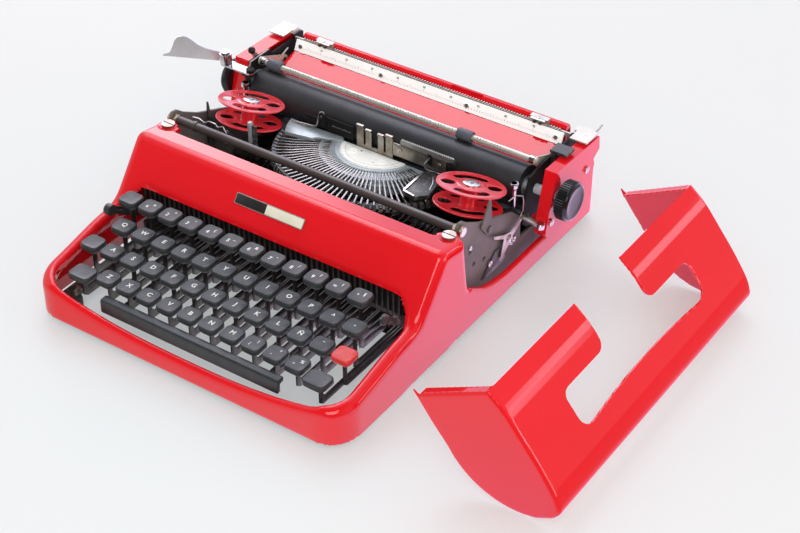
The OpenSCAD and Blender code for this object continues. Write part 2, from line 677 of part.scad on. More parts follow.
// Cover in its own view: s runs from its rear edge to its front edge, d is depth
cover_l = 282;
cover_sheet = 1.8;
cover_top = [[0, 0], [18, 3.8], [43, 5], [60, 5.6], [80, 4.9], [90, 2.9], [96, -0.4], [98.6, -8]];
cheek_line = concat(cover_top, [[96.4, -22]], arc(38, 1.5, 63, -30, -95, 10),
    [[11, -62.5], [-8, -62.6], [-14, -62.2], [-14.4, -60], [-9.4, -58]]);
plate_line = concat(cover_top, [[96.8, -8], [94.6, -2], [89, 1.1], [80, 3.1], [60, 3.8], [43, 3.2],
    [18, 2], [0.4, -1.8]]);
t_line = concat([[-31, -12]], arc(-40, 27.5, 9, 0, 90, 5), arc(-81, 42.5, 6, 270, 180, 4),
    arc(-77, 56, 10, 180, 90, 5), [for (x = [-55:22:55]) [x, 62 + x * x / 1482]],
    arc(77, 56, 10, 90, 0, 5), arc(81, 42.5, 6, 0, -90, 4), arc(40, 27.5, 9, 90, 180, 5),
    [[31, -12]]);
module cover_shape() {
    difference() {
        sideways(-cover_l / 2, cover_l / 2) polygon(plate_line);
        translate([0, 0, -20]) linear_extrude(60) polygon(t_line);
    }
    pair() {
        sideways(cover_l / 2 - cover_sheet, cover_l / 2) polygon(cheek_line);
        sideways(cover_l / 2 - 8, cover_l / 2 - 1) polygon([[0.4, -1], [-9, -57], [-7.2, -57],
                                                            [2.2, -1]]);
    }
}
module ribbon_cover() color(red)
    translate([242, 166, 92.6]) rotate([0, 53.34, 0]) rotate([0, 0, -90]) cover_shape();

placed() housing();
placed() nameplate();
placed() housing_screws();
placed() rubber_feet();
placed() side_frames();
placed() base_frame();
placed() front_tie_rod();
placed() key_comb();
placed() key_lever_rod();
placed() spool_decks();
placed() card_scale();
placed() carriage_rails();
placed() bell();
placed() segment();
placed() segment_face();
placed() type_rest();
placed() typebars();
placed() struck_typebar();
placed() ribbon_vibrator();
placed() number_row_keys();
placed() top_row_keys();
placed() home_row_keys();
placed() bottom_row_keys();
placed() margin_release_key();
placed() backspace_key();
placed() shift_lock_key();
placed() tab_key();
placed() letter_g_key();
placed() left_shift_key();
placed() right_shift_key();
placed() space_bar();
placed() colour_selector();
placed() tab_set_lever();
placed() left_ribbon_lever();
placed() right_ribbon_lever();
placed() left_spool();
placed() right_spool();
placed() mainspring_drum();
placed() escapement_wheel();
placed() carriage_frame();
placed() end_covers();
placed() rear_bar();
placed() paper_table();
placed() paper_scale();
placed() margin_rack();
placed() left_margin_stop();
placed() right_margin_stop();
placed() platen();
placed() platen_shaft();
placed() platen_knobs();
placed() feed_rollers();
placed() paper_bail();
placed() bail_rollers();
placed() paper_release_lever();
placed() left_release_tab();
placed() right_release_tab();
placed() line_space_lever();
placed() return_arm();
placed() return_paddle();
placed() ribbon_cover();
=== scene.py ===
from math import ceil, cos, pi, radians, sin

import bmesh
import bpy
import numpy as np
from mathutils import Matrix, Vector


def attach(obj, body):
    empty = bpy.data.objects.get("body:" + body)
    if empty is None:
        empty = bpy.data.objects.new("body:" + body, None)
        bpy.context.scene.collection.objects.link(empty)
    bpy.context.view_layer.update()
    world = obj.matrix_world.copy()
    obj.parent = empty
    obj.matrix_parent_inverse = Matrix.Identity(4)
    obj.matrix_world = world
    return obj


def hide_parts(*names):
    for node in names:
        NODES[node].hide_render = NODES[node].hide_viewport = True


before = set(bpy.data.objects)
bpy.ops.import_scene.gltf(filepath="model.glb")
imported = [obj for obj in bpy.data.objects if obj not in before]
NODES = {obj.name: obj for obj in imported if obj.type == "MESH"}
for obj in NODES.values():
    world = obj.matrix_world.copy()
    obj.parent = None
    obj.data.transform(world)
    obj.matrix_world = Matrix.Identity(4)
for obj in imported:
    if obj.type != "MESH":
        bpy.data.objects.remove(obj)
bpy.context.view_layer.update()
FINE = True

# Driving dimensions in millimetres: x from the middle, y from the front edge, z from the table
HOUSING_WIDTH = 282
HOUSING_DEPTH = 350
HOUSING_SHIFT = 1.5
RIM_TOP = 35.4
KEY_PITCH = 19.05
KEY_LEVER_ROD = (232, 23)
TIE_ROD = (164.4, 89.5)
TIE_ROD_END = 133
SPOOL_PLACE = (103, 220, 68)
SPOOL_LEAN = -17
PLATEN = (266.5, 69)
BAIL = (272.3, 88.9)
BAIL_HEIGHT = 2.45
SEGMENT_PLACE = (0, 250.5, 60)
INCH_TENTH = 2.54
COVER_HALF = 140.7
COVER_LEAN = 53.34

# Materials


def tree(name):
    m = bpy.data.materials.new(name)
    m.use_nodes = True
    t = m.node_tree
    return m, t, t.nodes["Principled BSDF"]


def fill(t, socket, value):
    """Links a socket to a node's output, or gives it a value."""
    if isinstance(value, bpy.types.NodeSocket):
        t.links.new(value, socket)
    else:
        socket.default_value = value


def new_node(t, kind, inputs=None, **settings):
    n = t.nodes.new("ShaderNode" + kind)
    for name, value in settings.items():
        setattr(n, name, value)
    for name, value in (inputs or {}).items():
        fill(t, n.inputs[name], value)
    return n


def object_place(t):
    return new_node(t, "TexCoord").outputs["Object"]


def noise(t, scale, detail=4.0, stretch=None):
    place = object_place(t)
    if stretch:
        place = new_node(t, "Mapping", {"Vector": place, "Scale": stretch}).outputs["Vector"]
    inputs = {"Vector": place, "Scale": scale, "Detail": detail, "Roughness": 0.55}
    return new_node(t, "TexNoise", inputs).outputs["Fac"]


def ramp(t, fac, stops):
    r = new_node(t, "ValToRGB", {"Fac": fac})
    while len(r.color_ramp.elements) < len(stops):
        r.color_ramp.elements.new(0.5)
    for e, (position, colour) in zip(r.color_ramp.elements, stops):
        e.position = position
        e.color = (*colour, 1)
    return r.outputs["Color"]


def grey(v):
    return (v, v, v)


def blend_colour(t, fac, a, b, mode="MIX"):
    a, b = [v if isinstance(v, bpy.types.NodeSocket) else (*v, 1) for v in (a, b)]
    inputs = {"Factor": fac, "A": a, "B": b}
    return new_node(t, "Mix", inputs, data_type="RGBA", blend_type=mode).outputs["Result"]


def vector_value(t, operation, vector, other=(0, 0, 0)):
    """The length of a vector, or its distance to another or dot product with it."""
    return new_node(t, "VectorMath", {0: vector, 1: other}, operation=operation).outputs["Value"]


def from_to(t, value, start, end, shape="LINEAR"):
    """Rises from 0 at start to 1 at end."""
    inputs = {"Value": value, "From Min": start, "From Max": end}
    return new_node(t, "MapRange", inputs, interpolation_type=shape).outputs["Result"]


def material(name, col, col2, rough=(0.3, 0.4), metal=0.0, coat=0.0, coat_rough=0.05, scale=60.0,
             bump=None, wear=None, stretch=None, specular=0.5, coat_ior=1.55):
    """Two colours and two roughnesses mixed by noise, and wear on the edges.

    A bump is its height in micrometres and the scale of its noise.
    """
    m, t, b = tree(name)
    colour = ramp(t, noise(t, scale), [(0.35, col), (0.65, col2)])
    if wear:
        geometry = new_node(t, "NewGeometry")
        edge = ramp(t, geometry.outputs["Pointiness"], [(0.53, grey(0)), (0.60, grey(1))])
        spots = ramp(t, noise(t, 220, 6), [(0.50, grey(0)), (0.62, grey(1))])
        colour = blend_colour(t, blend_colour(t, 1.0, edge, spots, "MULTIPLY"), colour, wear)
    shine = ramp(t, noise(t, scale * 2.3, 5, stretch), [(0.3, grey(rough[0])), (0.7, grey(rough[1]))])
    values = {"Base Color": colour, "Roughness": shine, "Metallic": metal, "IOR": 1.5,
              "Specular IOR Level": specular, "Coat Weight": coat, "Coat Roughness": coat_rough,
              "Coat IOR": coat_ior}
    if bump:
        inputs = {"Strength": 1.0, "Distance": bump[0] / 1e6, "Height": noise(t, bump[1], 3, stretch)}
        values["Normal"] = new_node(t, "Bump", inputs).outputs["Normal"]
    for socket, value in values.items():
        fill(t, b.inputs[socket], value)
    return m


def paint_shade_beyond(m, centre, radius, fade):
    """Paints shade: turns a material near black outside a ball, in metres."""
    t = m.node_tree
    base = t.nodes["Principled BSDF"].inputs["Base Color"]
    distance = vector_value(t, "DISTANCE", object_place(t), centre)
    far = ramp(t, distance, [(radius, grey(0)), (radius + fade, grey(1))])
    fill(t, base, blend_colour(t, far, base.links[0].from_socket, grey(0.02)))


def add_painted_glow(m, strength):
    """Paints light: a faint white glow keeps a white surface pale where little light reaches it."""
    b = m.node_tree.nodes["Principled BSDF"]
    b.inputs["Emission Color"].default_value = (1, 1, 0.98, 1)
    b.inputs["Emission Strength"].default_value = strength


RED = material("red_enamel", (0.8, 0.009, 0.016), (0.76, 0.008, 0.013), (0.3, 0.36), coat=1, coat_rough=0.045,
               scale=9, bump=(30, 260), specular=0, coat_ior=1.47)
SPOOL = material("spool_enamel", (0.8, 0.016, 0.03), (0.74, 0.014, 0.024), (0.3, 0.42), coat=1,
                 coat_rough=0.16, scale=50, bump=(20, 400), specular=0.2)
BLACK = material("black_enamel", (0.022, 0.022, 0.024), (0.035, 0.033, 0.032), (0.28, 0.45), scale=70,
                 bump=(30, 400), wear=(0.25, 0.22, 0.19))
STEEL = material("bright_steel", (0.52, 0.49, 0.45), (0.62, 0.6, 0.57), (0.22, 0.38), metal=1, scale=90,
                 bump=(20, 900), stretch=(1, 1, 9))
DULL = material("dull_steel", (0.17, 0.15, 0.135), (0.3, 0.28, 0.26), (0.32, 0.52), metal=1, scale=55,
                bump=(30, 600))
DARK_STEEL = material("dark_steel", (0.09, 0.082, 0.078), (0.15, 0.14, 0.13), (0.3, 0.5), metal=0.9,
                      bump=(30, 500), wear=(0.4, 0.36, 0.32))
CHROME = material("chrome_plate", (0.42, 0.4, 0.39), (0.5, 0.48, 0.47), (0.06, 0.14), metal=1, scale=30)
CREAM = material("cream_metal", (0.56, 0.53, 0.46), (0.64, 0.61, 0.53), (0.24, 0.36), metal=0.45, scale=40,
                 bump=(20, 400))
CAST = material("cast_alloy", (0.4, 0.45, 0.48), (0.5, 0.55, 0.58), (0.34, 0.48), metal=0.35, scale=80,
                bump=(30, 500))
BRIGHT = material("polished_face", (0.93, 0.93, 0.9), (0.96, 0.96, 0.94), scale=40)
MATT = material("matt_black", (0.01, 0.01, 0.011), (0.016, 0.015, 0.015), (0.55, 0.7), specular=0.15)
BAR = material("type_bar_steel", (0.24, 0.23, 0.22), (0.36, 0.35, 0.33), (0.24, 0.4), metal=0.95, scale=120)
SEGMENT = material("segment_casting", (0.42, 0.47, 0.5), (0.52, 0.57, 0.6), (0.34, 0.48), metal=0.25,
                   scale=80, bump=(30, 500))
ROD = material("rod_steel", (0.075, 0.064, 0.06), (0.105, 0.09, 0.084), (0.34, 0.44), metal=0.5, scale=30)
FRAME = material("frame_steel", (0.125, 0.108, 0.103), (0.17, 0.15, 0.143), (0.42, 0.55), specular=0.3,
                 scale=22, bump=(20, 500))
KEY = material("key_plastic", (0.024, 0.027, 0.028), (0.033, 0.036, 0.037), (0.32, 0.42), scale=120,
               bump=(20, 1500), specular=0.4)
RED_KEY = material("red_key_plastic", (0.62, 0.028, 0.024), (0.68, 0.04, 0.032), (0.28, 0.38), scale=120,
                   bump=(20, 1500))
LEGEND = material("legend_white", (0.78, 0.78, 0.75), (0.86, 0.86, 0.83), (0.4, 0.5), scale=300)
RUBBER = material("platen_rubber", (0.018, 0.018, 0.02), (0.026, 0.026, 0.028), (0.36, 0.5), scale=70,
                  bump=(20, 700), stretch=(1, 6, 6))
GREY_RUBBER = material("roller_rubber", (0.075, 0.085, 0.105), (0.095, 0.105, 0.125), (0.45, 0.6), scale=120,
                       bump=(30, 400))
FOOT = material("foot_rubber", (0.02, 0.02, 0.02), (0.03, 0.03, 0.03), (0.6, 0.75), scale=150,
                bump=(50, 400))
KNOB = material("knob_plastic", (0.009, 0.009, 0.01), (0.014, 0.014, 0.015), (0.16, 0.24), bump=(20, 400),
                specular=0.35)
LEVER = material("blackened_steel", (0.035, 0.031, 0.028), (0.085, 0.075, 0.066), (0.32, 0.5), metal=0.8,
                 scale=90, bump=(30, 700))
WHITE = material("white_enamel", (0.93, 0.93, 0.91), (0.97, 0.97, 0.95), (0.25, 0.35), scale=25, coat=0.3)
INK = material("scale_ink", (0.06, 0.06, 0.065), (0.1, 0.1, 0.1), (0.4, 0.5), scale=300)
BRASS = material("bell_brass", (0.5, 0.4, 0.24), (0.58, 0.48, 0.32), (0.26, 0.4), metal=1)
NICKEL = material("dull_nickel", (0.4, 0.39, 0.36), (0.5, 0.49, 0.45), (0.38, 0.52), metal=0.8, scale=110,
                  bump=(30, 700))
PLATE_CREAM = material("plate_cream", (0.78, 0.74, 0.58), (0.84, 0.8, 0.66), scale=70)
PLATE_DARK = material("plate_black", (0.016, 0.015, 0.014), (0.024, 0.022, 0.02), scale=70)
RUST = material("worn_steel", (0.3, 0.25, 0.2), (0.46, 0.42, 0.37), (0.3, 0.48), metal=1, scale=130,
                bump=(40, 800))
# Painted shade: the segment casting turns near black beyond a ball round its middle.
paint_shade_beyond(SEGMENT, (0, 0.0755, 0.058), 0.0555, 0.0025)
# Painted light: a faint glow on the white enamel and on the polished face.
add_painted_glow(WHITE, 0.25)
add_painted_glow(BRIGHT, 0.12)

# Meshes in millimetres

CORNERS = [(i, j, k) for i in (0, 1) for j in (0, 1) for k in (0, 1)]


def to_scene(v):
    """From millimetres behind the front edge to the frame's metres."""
    return (np.asarray(v, float) - [0, HOUSING_DEPTH / 2, 0]) / 1000


def put_in_scene(name, data):
    o = bpy.data.objects.new(name, data)
    bpy.context.scene.collection.objects.link(o)
    return o


def make_object(name, body, verts, faces, mats, index=None, sharp=38, replaces=()):
    me = bpy.data.meshes.new(name)
    me.from_pydata(to_scene(verts).tolist(), [], [list(map(int, f)) for f in faces])
    for m in mats:
        me.materials.append(m)
    if index is not None:
        me.polygons.foreach_set("material_index", np.asarray(index, np.int32))
    me.polygons.foreach_set("use_smooth", np.ones(len(me.polygons), bool))
    me.update()
    me.set_sharp_from_angle(angle=radians(sharp))
    o = put_in_scene(name, me)
    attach(o, body)
    if replaces:
        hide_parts(*replaces)


def frame_of(d):
    """Two directions square to d, and d itself."""
    d = Vector(d).normalized()
    a = Vector((1, 0, 0)) if abs(d.x) < 0.8 else Vector((0, 1, 0))
    u = d.cross(a).normalized()
    return u, d.cross(u), d


def leaning(place, degrees):
    return Matrix.Translation(place) @ Matrix.Rotation(radians(degrees), 4, "X")


def tilted(y, z, c, s):
    """A plane through y and z that rises to the back by s for each c."""
    return Matrix(((1, 0, 0, 0), (0, c, -s, y), (0, s, c, z), (0, 0, 0, 1)))


def ring(centre, u, w, r, n):
    turns = [2 * pi * i / n for i in range(n)]
    return [centre + (u * cos(a) + w * sin(a)) * r for a in turns]


def ring_faces(rings, n):
    """Faces over rings of n points, with both ends closed."""
    sides = [(j * n + i, j * n + (i + 1) % n, (j + 1) * n + (i + 1) % n, (j + 1) * n + i)
             for j in range(rings - 1) for i in range(n)]
    return sides + [list(range(n))[::-1], [(rings - 1) * n + i for i in range(n)]]


class Piece:
    """Collects simple solids in one mesh. Its last material is also that of screw slots."""

    def __init__(self, name, body, *mats):
        self.name, self.body, self.mats = name, body, mats
        self.v, self.f, self.mi = [], [], []

    def add(self, verts, faces, mi=0):
        n = len(self.v)
        self.v.extend([tuple(p) for p in verts])
        self.f.extend([[i + n for i in f] for f in faces])
        self.mi.extend([mi] * len(faces))

    def solid(self, verts, faces, mi=0, bevel=0.0, matrix=None):
        bm = bmesh.new()
        vs = [bm.verts.new(p) for p in verts]
        for f in faces:
            bm.faces.new([vs[i] for i in f])
        bmesh.ops.recalc_face_normals(bm, faces=bm.faces)
        if bevel:
            edges = [e for e in bm.edges if e.calc_face_angle(0) > 0.5]
            bmesh.ops.bevel(bm, geom=edges, offset=bevel, segments=2, profile=0.5, affect="EDGES",
                            clamp_overlap=True)
        bm.verts.index_update()
        pts = [(matrix @ v.co) if matrix else v.co for v in bm.verts]
        self.add(pts, [[v.index for v in f.verts] for f in bm.faces], mi)
        bm.free()

    def box(self, lo, hi, mi=0, bevel=0.25, matrix=None):
        x, y, z = zip(lo, hi)
        v = [(x[i], y[j], z[k]) for i, j, k in CORNERS]
        f = [(0, 1, 3, 2), (4, 6, 7, 5), (0, 4, 5, 1), (2, 3, 7, 6), (0, 2, 6, 4), (1, 5, 7, 3)]
        self.solid(v, f, mi, bevel, matrix)

    def prism(self, axis, start, end, pts, mi=0, bevel=0.0, matrix=None):
        """A flat outline drawn out along an axis; pts are in the two other axes, in order."""

        def put(a, p):
            return {"x": (a, p[0], p[1]), "y": (p[0], a, p[1]), "z": (p[0], p[1], a)}[axis]

        v = [put(a, p) for a in (start, end) for p in pts]
        *sides, first, last = ring_faces(2, len(pts))
        self.solid(v, [first, last] + sides, mi, bevel, matrix)

    def lathe(self, prof, origin, direction, mi=0, n=28):
        """prof holds pairs of radius and place along the axis."""
        u, w, d = frame_of(direction)
        v = [p for r, h in prof for p in ring(Vector(origin) + d * h, u, w, r, n)]
        self.add(v, ring_faces(len(prof), n), mi)

    def rod(self, p0, p1, r, mi=0):
        d = Vector(p1) - Vector(p0)
        h = d.length
        b = min(0.2, r * 0.4, h * 0.3)
        self.lathe([(r - b, 0), (r, b), (r, h - b), (r - b, h)], p0, d, mi, 20)

    def tube(self, pts, r, mi=0, n=8):
        """A round wire along points."""
        pts = [Vector(p) for p in pts]
        u = frame_of(pts[1] - pts[0])[0]
        v = []
        for i, p in enumerate(pts):
            t = (pts[min(i + 1, len(pts) - 1)] - pts[max(i - 1, 0)]).normalized()
            u = (u - t * u.dot(t)).normalized()
            v += ring(p, u, t.cross(u), r, n)
        self.add(v, ring_faces(len(pts), n), mi)

    def spring(self, p0, p1, r, turns, wire, mi):
        u, w, d = frame_of(Vector(p1) - Vector(p0))
        length = (Vector(p1) - Vector(p0)).length
        steps = int(turns * 10)
        pts = []
        for i in range(steps + 1):
            a = 2 * pi * turns * i / steps
            pts.append(Vector(p0) + d * (length * i / steps) + (u * cos(a) + w * sin(a)) * r)
        self.tube(pts, wire, mi, 5)

    def strip(self, pts, width, thick, side, mi=0, bevel=0.15):
        """Flat bar bent along points; side is the direction of its width."""
        pts = [Vector(p) for p in pts]
        s = Vector(side).normalized() * width / 2
        v = []
        for i, p in enumerate(pts):
            t = pts[min(i + 1, len(pts) - 1)] - pts[max(i - 1, 0)]
            n = t.normalized().cross(s.normalized()).normalized() * thick / 2
            v += [p - s - n, p + s - n, p + s + n, p - s + n]
        *sides, first, last = ring_faces(len(pts), 4)
        self.solid(v, [first[::-1], last[::-1]] + sides, mi, bevel)

    def screw(self, p, d, r, h, mi=0, turn=0.5):
        """Slotted screw head with its seat at p, facing d."""
        u, w, d = frame_of(d)
        m = Matrix.Rotation(turn, 3, d)
        self.lathe([(r, -0.3), (r, h * 0.7), (r * 0.86, h)], p, d, mi, 24)
        at = Matrix((m @ u, m @ w, d)).transposed().to_4x4()
        at.translation = Vector(p)
        x, y = 0.83 * r, 0.14 * r
        self.box((-x, -y, h - 0.2), (x, y, h + 0.04), len(self.mats) - 1, 0, at)

    def done(self, replaces=()):
        make_object(self.name, self.body, self.v, self.f, self.mats, self.mi, replaces=replaces)


# Smooth solids from distance fields


def arc(cx, cy, r, a0, a1, n=6):
    turns = [radians(a0 + (a1 - a0) * i / n) for i in range(n + 1)]
    return [(cx + r * cos(a), cy + r * sin(a)) for a in turns]


def curve(pts, n=4):
    """Smooth line through points."""
    p = [np.array(q, float) for q in pts]
    p = [2 * p[0] - p[1]] + p + [2 * p[-1] - p[-2]]
    out = []
    for i in range(1, len(p) - 2):
        a, b, c, d = p[i - 1:i + 3]
        for k in range(n):
            t = k / n
            out.append(tuple(0.5 * (2 * b + (c - a) * t + (2 * a - 5 * b + 4 * c - d) * t * t
                                    + (3 * b - a - 3 * c + d) * t ** 3)))
    return out + [tuple(p[-2])]


def outline_distance(px, py, poly):
    p = np.array(poly, float)
    q = np.roll(p, -1, 0)
    best = np.full(px.shape, 1e9)
    inside = np.zeros(px.shape, bool)
    for (ax, ay), (bx, by) in zip(p, q):
        ex, ey = bx - ax, by - ay
        wx, wy = px - ax, py - ay
        t = np.clip((wx * ex + wy * ey) / max(ex * ex + ey * ey, 1e-12), 0, 1)
        best = np.minimum(best, (wx - ex * t) ** 2 + (wy - ey * t) ** 2)
        if ay != by:
            inside ^= ((ay > py) != (by > py)) & (px < ex * (py - ay) / ey + ax)
    return np.where(inside, -1, 1) * np.sqrt(best)


def field(poly, lo, hi, step=0.5):
    """The signed distance to a flat outline, sampled once and then read between samples."""
    nx, ny = [int((hi[i] - lo[i]) / step) + 2 for i in (0, 1)]
    gx, gy = np.meshgrid(lo[0] + step * np.arange(nx), lo[1] + step * np.arange(ny), indexing="ij")
    g = outline_distance(gx, gy, poly)

    def read(a, b):
        u = np.clip((a - lo[0]) / step, 0, nx - 1.001)
        v = np.clip((b - lo[1]) / step, 0, ny - 1.001)
        i, j = u.astype(int), v.astype(int)
        s, t = u - i, v - j
        return ((g[i, j] * (1 - s) + g[i + 1, j] * s) * (1 - t)
                + (g[i, j + 1] * (1 - s) + g[i + 1, j + 1] * s) * t)

    return read


# A field is negative inside its solid: join puts two solids together, both keeps what they share
join = np.minimum
both = np.maximum


def round_max(a, b, r):
    return (np.minimum(np.maximum(a, b), -r)
            + np.sqrt(np.maximum(a + r, 0) ** 2 + np.maximum(b + r, 0) ** 2))


def round_box(x, y, cx, cy, hx, hy, r):
    qx, qy = abs(x - cx) - hx + r, abs(y - cy) - hy + r
    outside = np.sqrt(np.maximum(qx, 0) ** 2 + np.maximum(qy, 0) ** 2)
    return np.minimum(np.maximum(qx, qy), 0) + outside - r


def surface(f, lo, hi, h):
    """Mesh of the surface where f is 0: a point in each cell that it crosses, then moved onto it."""
    n = [int(ceil((hi[i] - lo[i]) / h)) + 1 for i in range(3)]
    ax = [lo[i] + h * np.arange(n[i]) for i in range(3)]
    g = np.empty(n, np.float32)
    for i0 in range(0, n[0], 24):
        x, y, z = np.meshgrid(ax[0][i0:i0 + 24], ax[1], ax[2], indexing="ij")
        g[i0:i0 + 24] = f(x, y, z)
    s = g < 0
    c = [m - 1 for m in n]
    count = sum(s[i:i + c[0], j:j + c[1], k:k + c[2]].astype(np.int8) for i, j, k in CORNERS)
    cells = np.argwhere((count > 0) & (count < 8))
    index = np.full(c, -1, np.int64)
    index[tuple(cells.T)] = np.arange(len(cells))
    total, weight = np.zeros((len(cells), 3)), np.zeros((len(cells), 1))
    for a in CORNERS:
        for axis in range(3):
            if a[axis]:
                continue
            b = tuple(v + (k == axis) for k, v in enumerate(a))
            fa = g[tuple((cells + a).T)].astype(float)
            fb = g[tuple((cells + b).T)].astype(float)
            cross = (fa < 0) != (fb < 0)
            p = np.tile(np.array(a, float), (len(cells), 1))
            p[:, axis] += np.where(cross, fa / np.where(cross, fa - fb, 1), 0)
            total += p * cross[:, None]
            weight += cross[:, None]
    v = np.array(lo) + h * (cells + total / weight)
    return settle(f, v, h), cell_faces(s, index, n)


def cell_faces(s, index, n):
    """A quad between the four cells round each grid edge that the surface crosses."""
    faces = []
    unit = np.eye(3, dtype=int)
    for axis in range(3):
        du, dw = unit[(axis + 1) % 3], unit[(axis + 2) % 3]
        near = [slice(1, m - 1) for m in n]
        near[axis] = slice(0, n[axis] - 1)
        far = list(near)
        far[axis] = slice(1, n[axis])
        a, b = s[tuple(near)], s[tuple(far)]
        for edges, turn in ((a & ~b, 1), (~a & b, -1)):
            e = np.argwhere(edges) + 1 - unit[axis]
            quad = [index[tuple(q.T)] for q in (e - du - dw, e - dw, e, e - du)]
            faces.append(np.stack(quad[::turn], 1))
    faces = np.concatenate(faces)
    return faces[(faces >= 0).all(1)]


def settle(f, v, h, steps=3, reach=0.15):
    """Moves points along the slope of f to where it is 0, by half a cell at most each time."""
    for _ in range(steps):
        val = f(v[:, 0], v[:, 1], v[:, 2])
        slope = np.stack([f(*(v + d).T) - f(*(v - d).T) for d in np.eye(3) * reach], 1) / (2 * reach)
        move = -(val / np.maximum((slope ** 2).sum(1), 0.3))[:, None] * slope
        far = np.linalg.norm(move, axis=1)
        v = v + move * np.minimum(1, 0.5 * h / np.maximum(far, 1e-9))[:, None]
    return v


# Housing
SIDE = ([(0, -60)] + arc(6, 28, 6, 180, 100)
        + curve([(9, 34.3), (14, 35), (25, 36.8), (43, 40.5), (70, 46.5), (88, 49.2), (96, 52), (101, 56.5),
                 (105, 61.5)])
        + arc(133.3, 84.1, 9, 143, 81, 10) + [(150, 90.6)]
        + arc(154, 87.5, 2.6, 70, 10, 3)
        + curve([(157.2, 83), (161.5, 46), (166, 41.5), (173, 37), (184, 31), (196, 27.5), (210, 25.5),
                 (225, 25), (322, 25), (329, 29), (334, 37), (338, 47), (343, 53), (350, 54)])
        + [(350, -60)])
TOP = [p for p in SIDE if p[1] > -50]
TOP_Y = np.maximum.accumulate(np.array([p[0] for p in TOP]) + np.arange(len(TOP)) * 1e-6)
TOP_Z = np.array([p[1] for p in TOP])


def housing_field(wall):
    side = field(SIDE, (-6, -10), (356, 100))

    def f(x, y, z):
        x = x - HOUSING_SHIFT
        # The front rim dips towards the middle
        rim = 22 + 14.5 * np.minimum(1, abs(x) / 126) ** 2.6
        near = np.clip((24 - y) / 14, 0, 1)
        z_up = z + np.maximum(0, RIM_TOP - rim) * near * near * (3 - 2 * near)
        # The pressed body, sharper behind the deck, and its wall
        corner = np.where(y < 175, 27.0, 10.0)
        plan = round_box(x, y, 0, HOUSING_DEPTH / 2, HOUSING_WIDTH / 2, HOUSING_DEPTH / 2, corner)
        edge = 7.5 - 5.5 * np.clip((y - 150) / 16, 0, 1)
        well = round_box(x, y, 0, 57.4, 131, 49.4, 20)
        s = round_max(round_max(side(y, z_up), plan, edge), -well, 3.6)
        g = both(s, -(s + wall))
        # Openings for the works and under the deck, and the lip round the keyboard well
        opening = join(round_box(x, y, 0, 252.5, HOUSING_WIDTH / 2 - 4.2, 92, 8),
                       round_box(x, y, 0, 158, 119, 10, 2))
        g = both(g, -opening)
        top = np.interp(y, TOP_Y, TOP_Z)
        lip = 9.5 - 6.3 * np.clip((y - 88) / 12, 0, 1)
        g = both(g, -both(well - wall - 0.6, z_up - top + lip))
        slot = both(abs(x + HOUSING_SHIFT) - 135.5, abs(y - 164) - 12)
        g = both(g, -both(slot, z - 85.5))
        # Seats of the two screws, then the lower edge
        pad = np.hypot(abs(x) - 128.5, y - 152.8) - 7.2
        seat = both(both(pad, z - 90.4), 85.7 - z)
        g = join(both(g, -both(pad, 90.4 - z)), seat)
        return both(g, 7 - 2.8 * np.clip((170 - y) / 110, 0, 1) - z)

    return f


def housing():
    v, faces = surface(housing_field(2.6 if FINE else 3.4), (-142, -2.5, 2.0), (145, 352.5, 95.6),
                       1.45 if FINE else 2.2)
    make_object("housing_shell", "body_frame", v, faces, [RED], replaces=("housing",),
                sharp=50)


# Ribbon cover, lying on its front edge and lower corners beside the machine
TOP_LINE = curve([(0, 0), (18, 3.8), (43, 5), (60, 5.6), (80, 4.9), (90, 2.9), (96, -0.4), (98.6, -8)])
CHEEK = TOP_LINE + [(96.4, -22)] + arc(38, 1.5, 63, -30, -95, 16) + [
    (11, -62.5), (-8, -62.6), (-14, -62.2), (-14.4, -60), (-9.4, -58)]
SHEET = TOP_LINE + curve([(96.8, -8), (94.6, -2), (89, 1.1), (80, 3.1), (60, 3.8), (43, 3.2), (18, 2),
                          (0.4, -1.8)])
T_CUT = ([(-31, -12)] + arc(-40, 27.5, 9, 0, 90) + arc(-81, 42.5, 6, 270, 180, 5)
         + arc(-77, 56, 10, 180, 90) + [(x, 62 + x * x / 1482) for x in range(-55, 56, 11)]
         + arc(77, 56, 10, 90, 0) + arc(81, 42.5, 6, 0, -90, 5) + arc(40, 27.5, 9, 90, 180)
         + [(31, -12)])
FLANGE = [(0.4, -1), (-9, -57), (-7.2, -57), (2.2, -1)]


def cover_field():
    lo, hi = (-20, -70), (104, 12)
    cheek = field(CHEEK, lo, hi)
    sheet = field(SHEET, lo, hi, 0.3)
    hole = field(T_CUT, (-150, -20), (150, 75))
    flange = field(FLANGE, lo, hi, 0.4)

    def f(x, y, z):
        s = round_max(cheek(y, z), abs(x) - COVER_HALF, 3.2)
        g = both(s, join(sheet(y, z), COVER_HALF - 1.6 - abs(x)))
        g = round_max(g, -hole(x, y), 0.5)
        return join(g, both(flange(y, z), abs(abs(x) - 136.5) - 3.5))

    return f


def ribbon_cover():
    v, faces = surface(cover_field(), (-143.3, -17, -65.3), (143.3, 101, 8.2), 0.85 if FINE else 1.5)
    c, s = cos(radians(COVER_LEAN)), sin(radians(COVER_LEAN))
    x, y, z = v.T
    v = np.stack([241.75 + y * c + z * s, 166 - x, 92.6 - y * s + z * c], 1)
    make_object("ribbon_cover_shell", "ribbon_cover_body", v, faces, [RED],
                replaces=("ribbon_cover",), sharp=50)


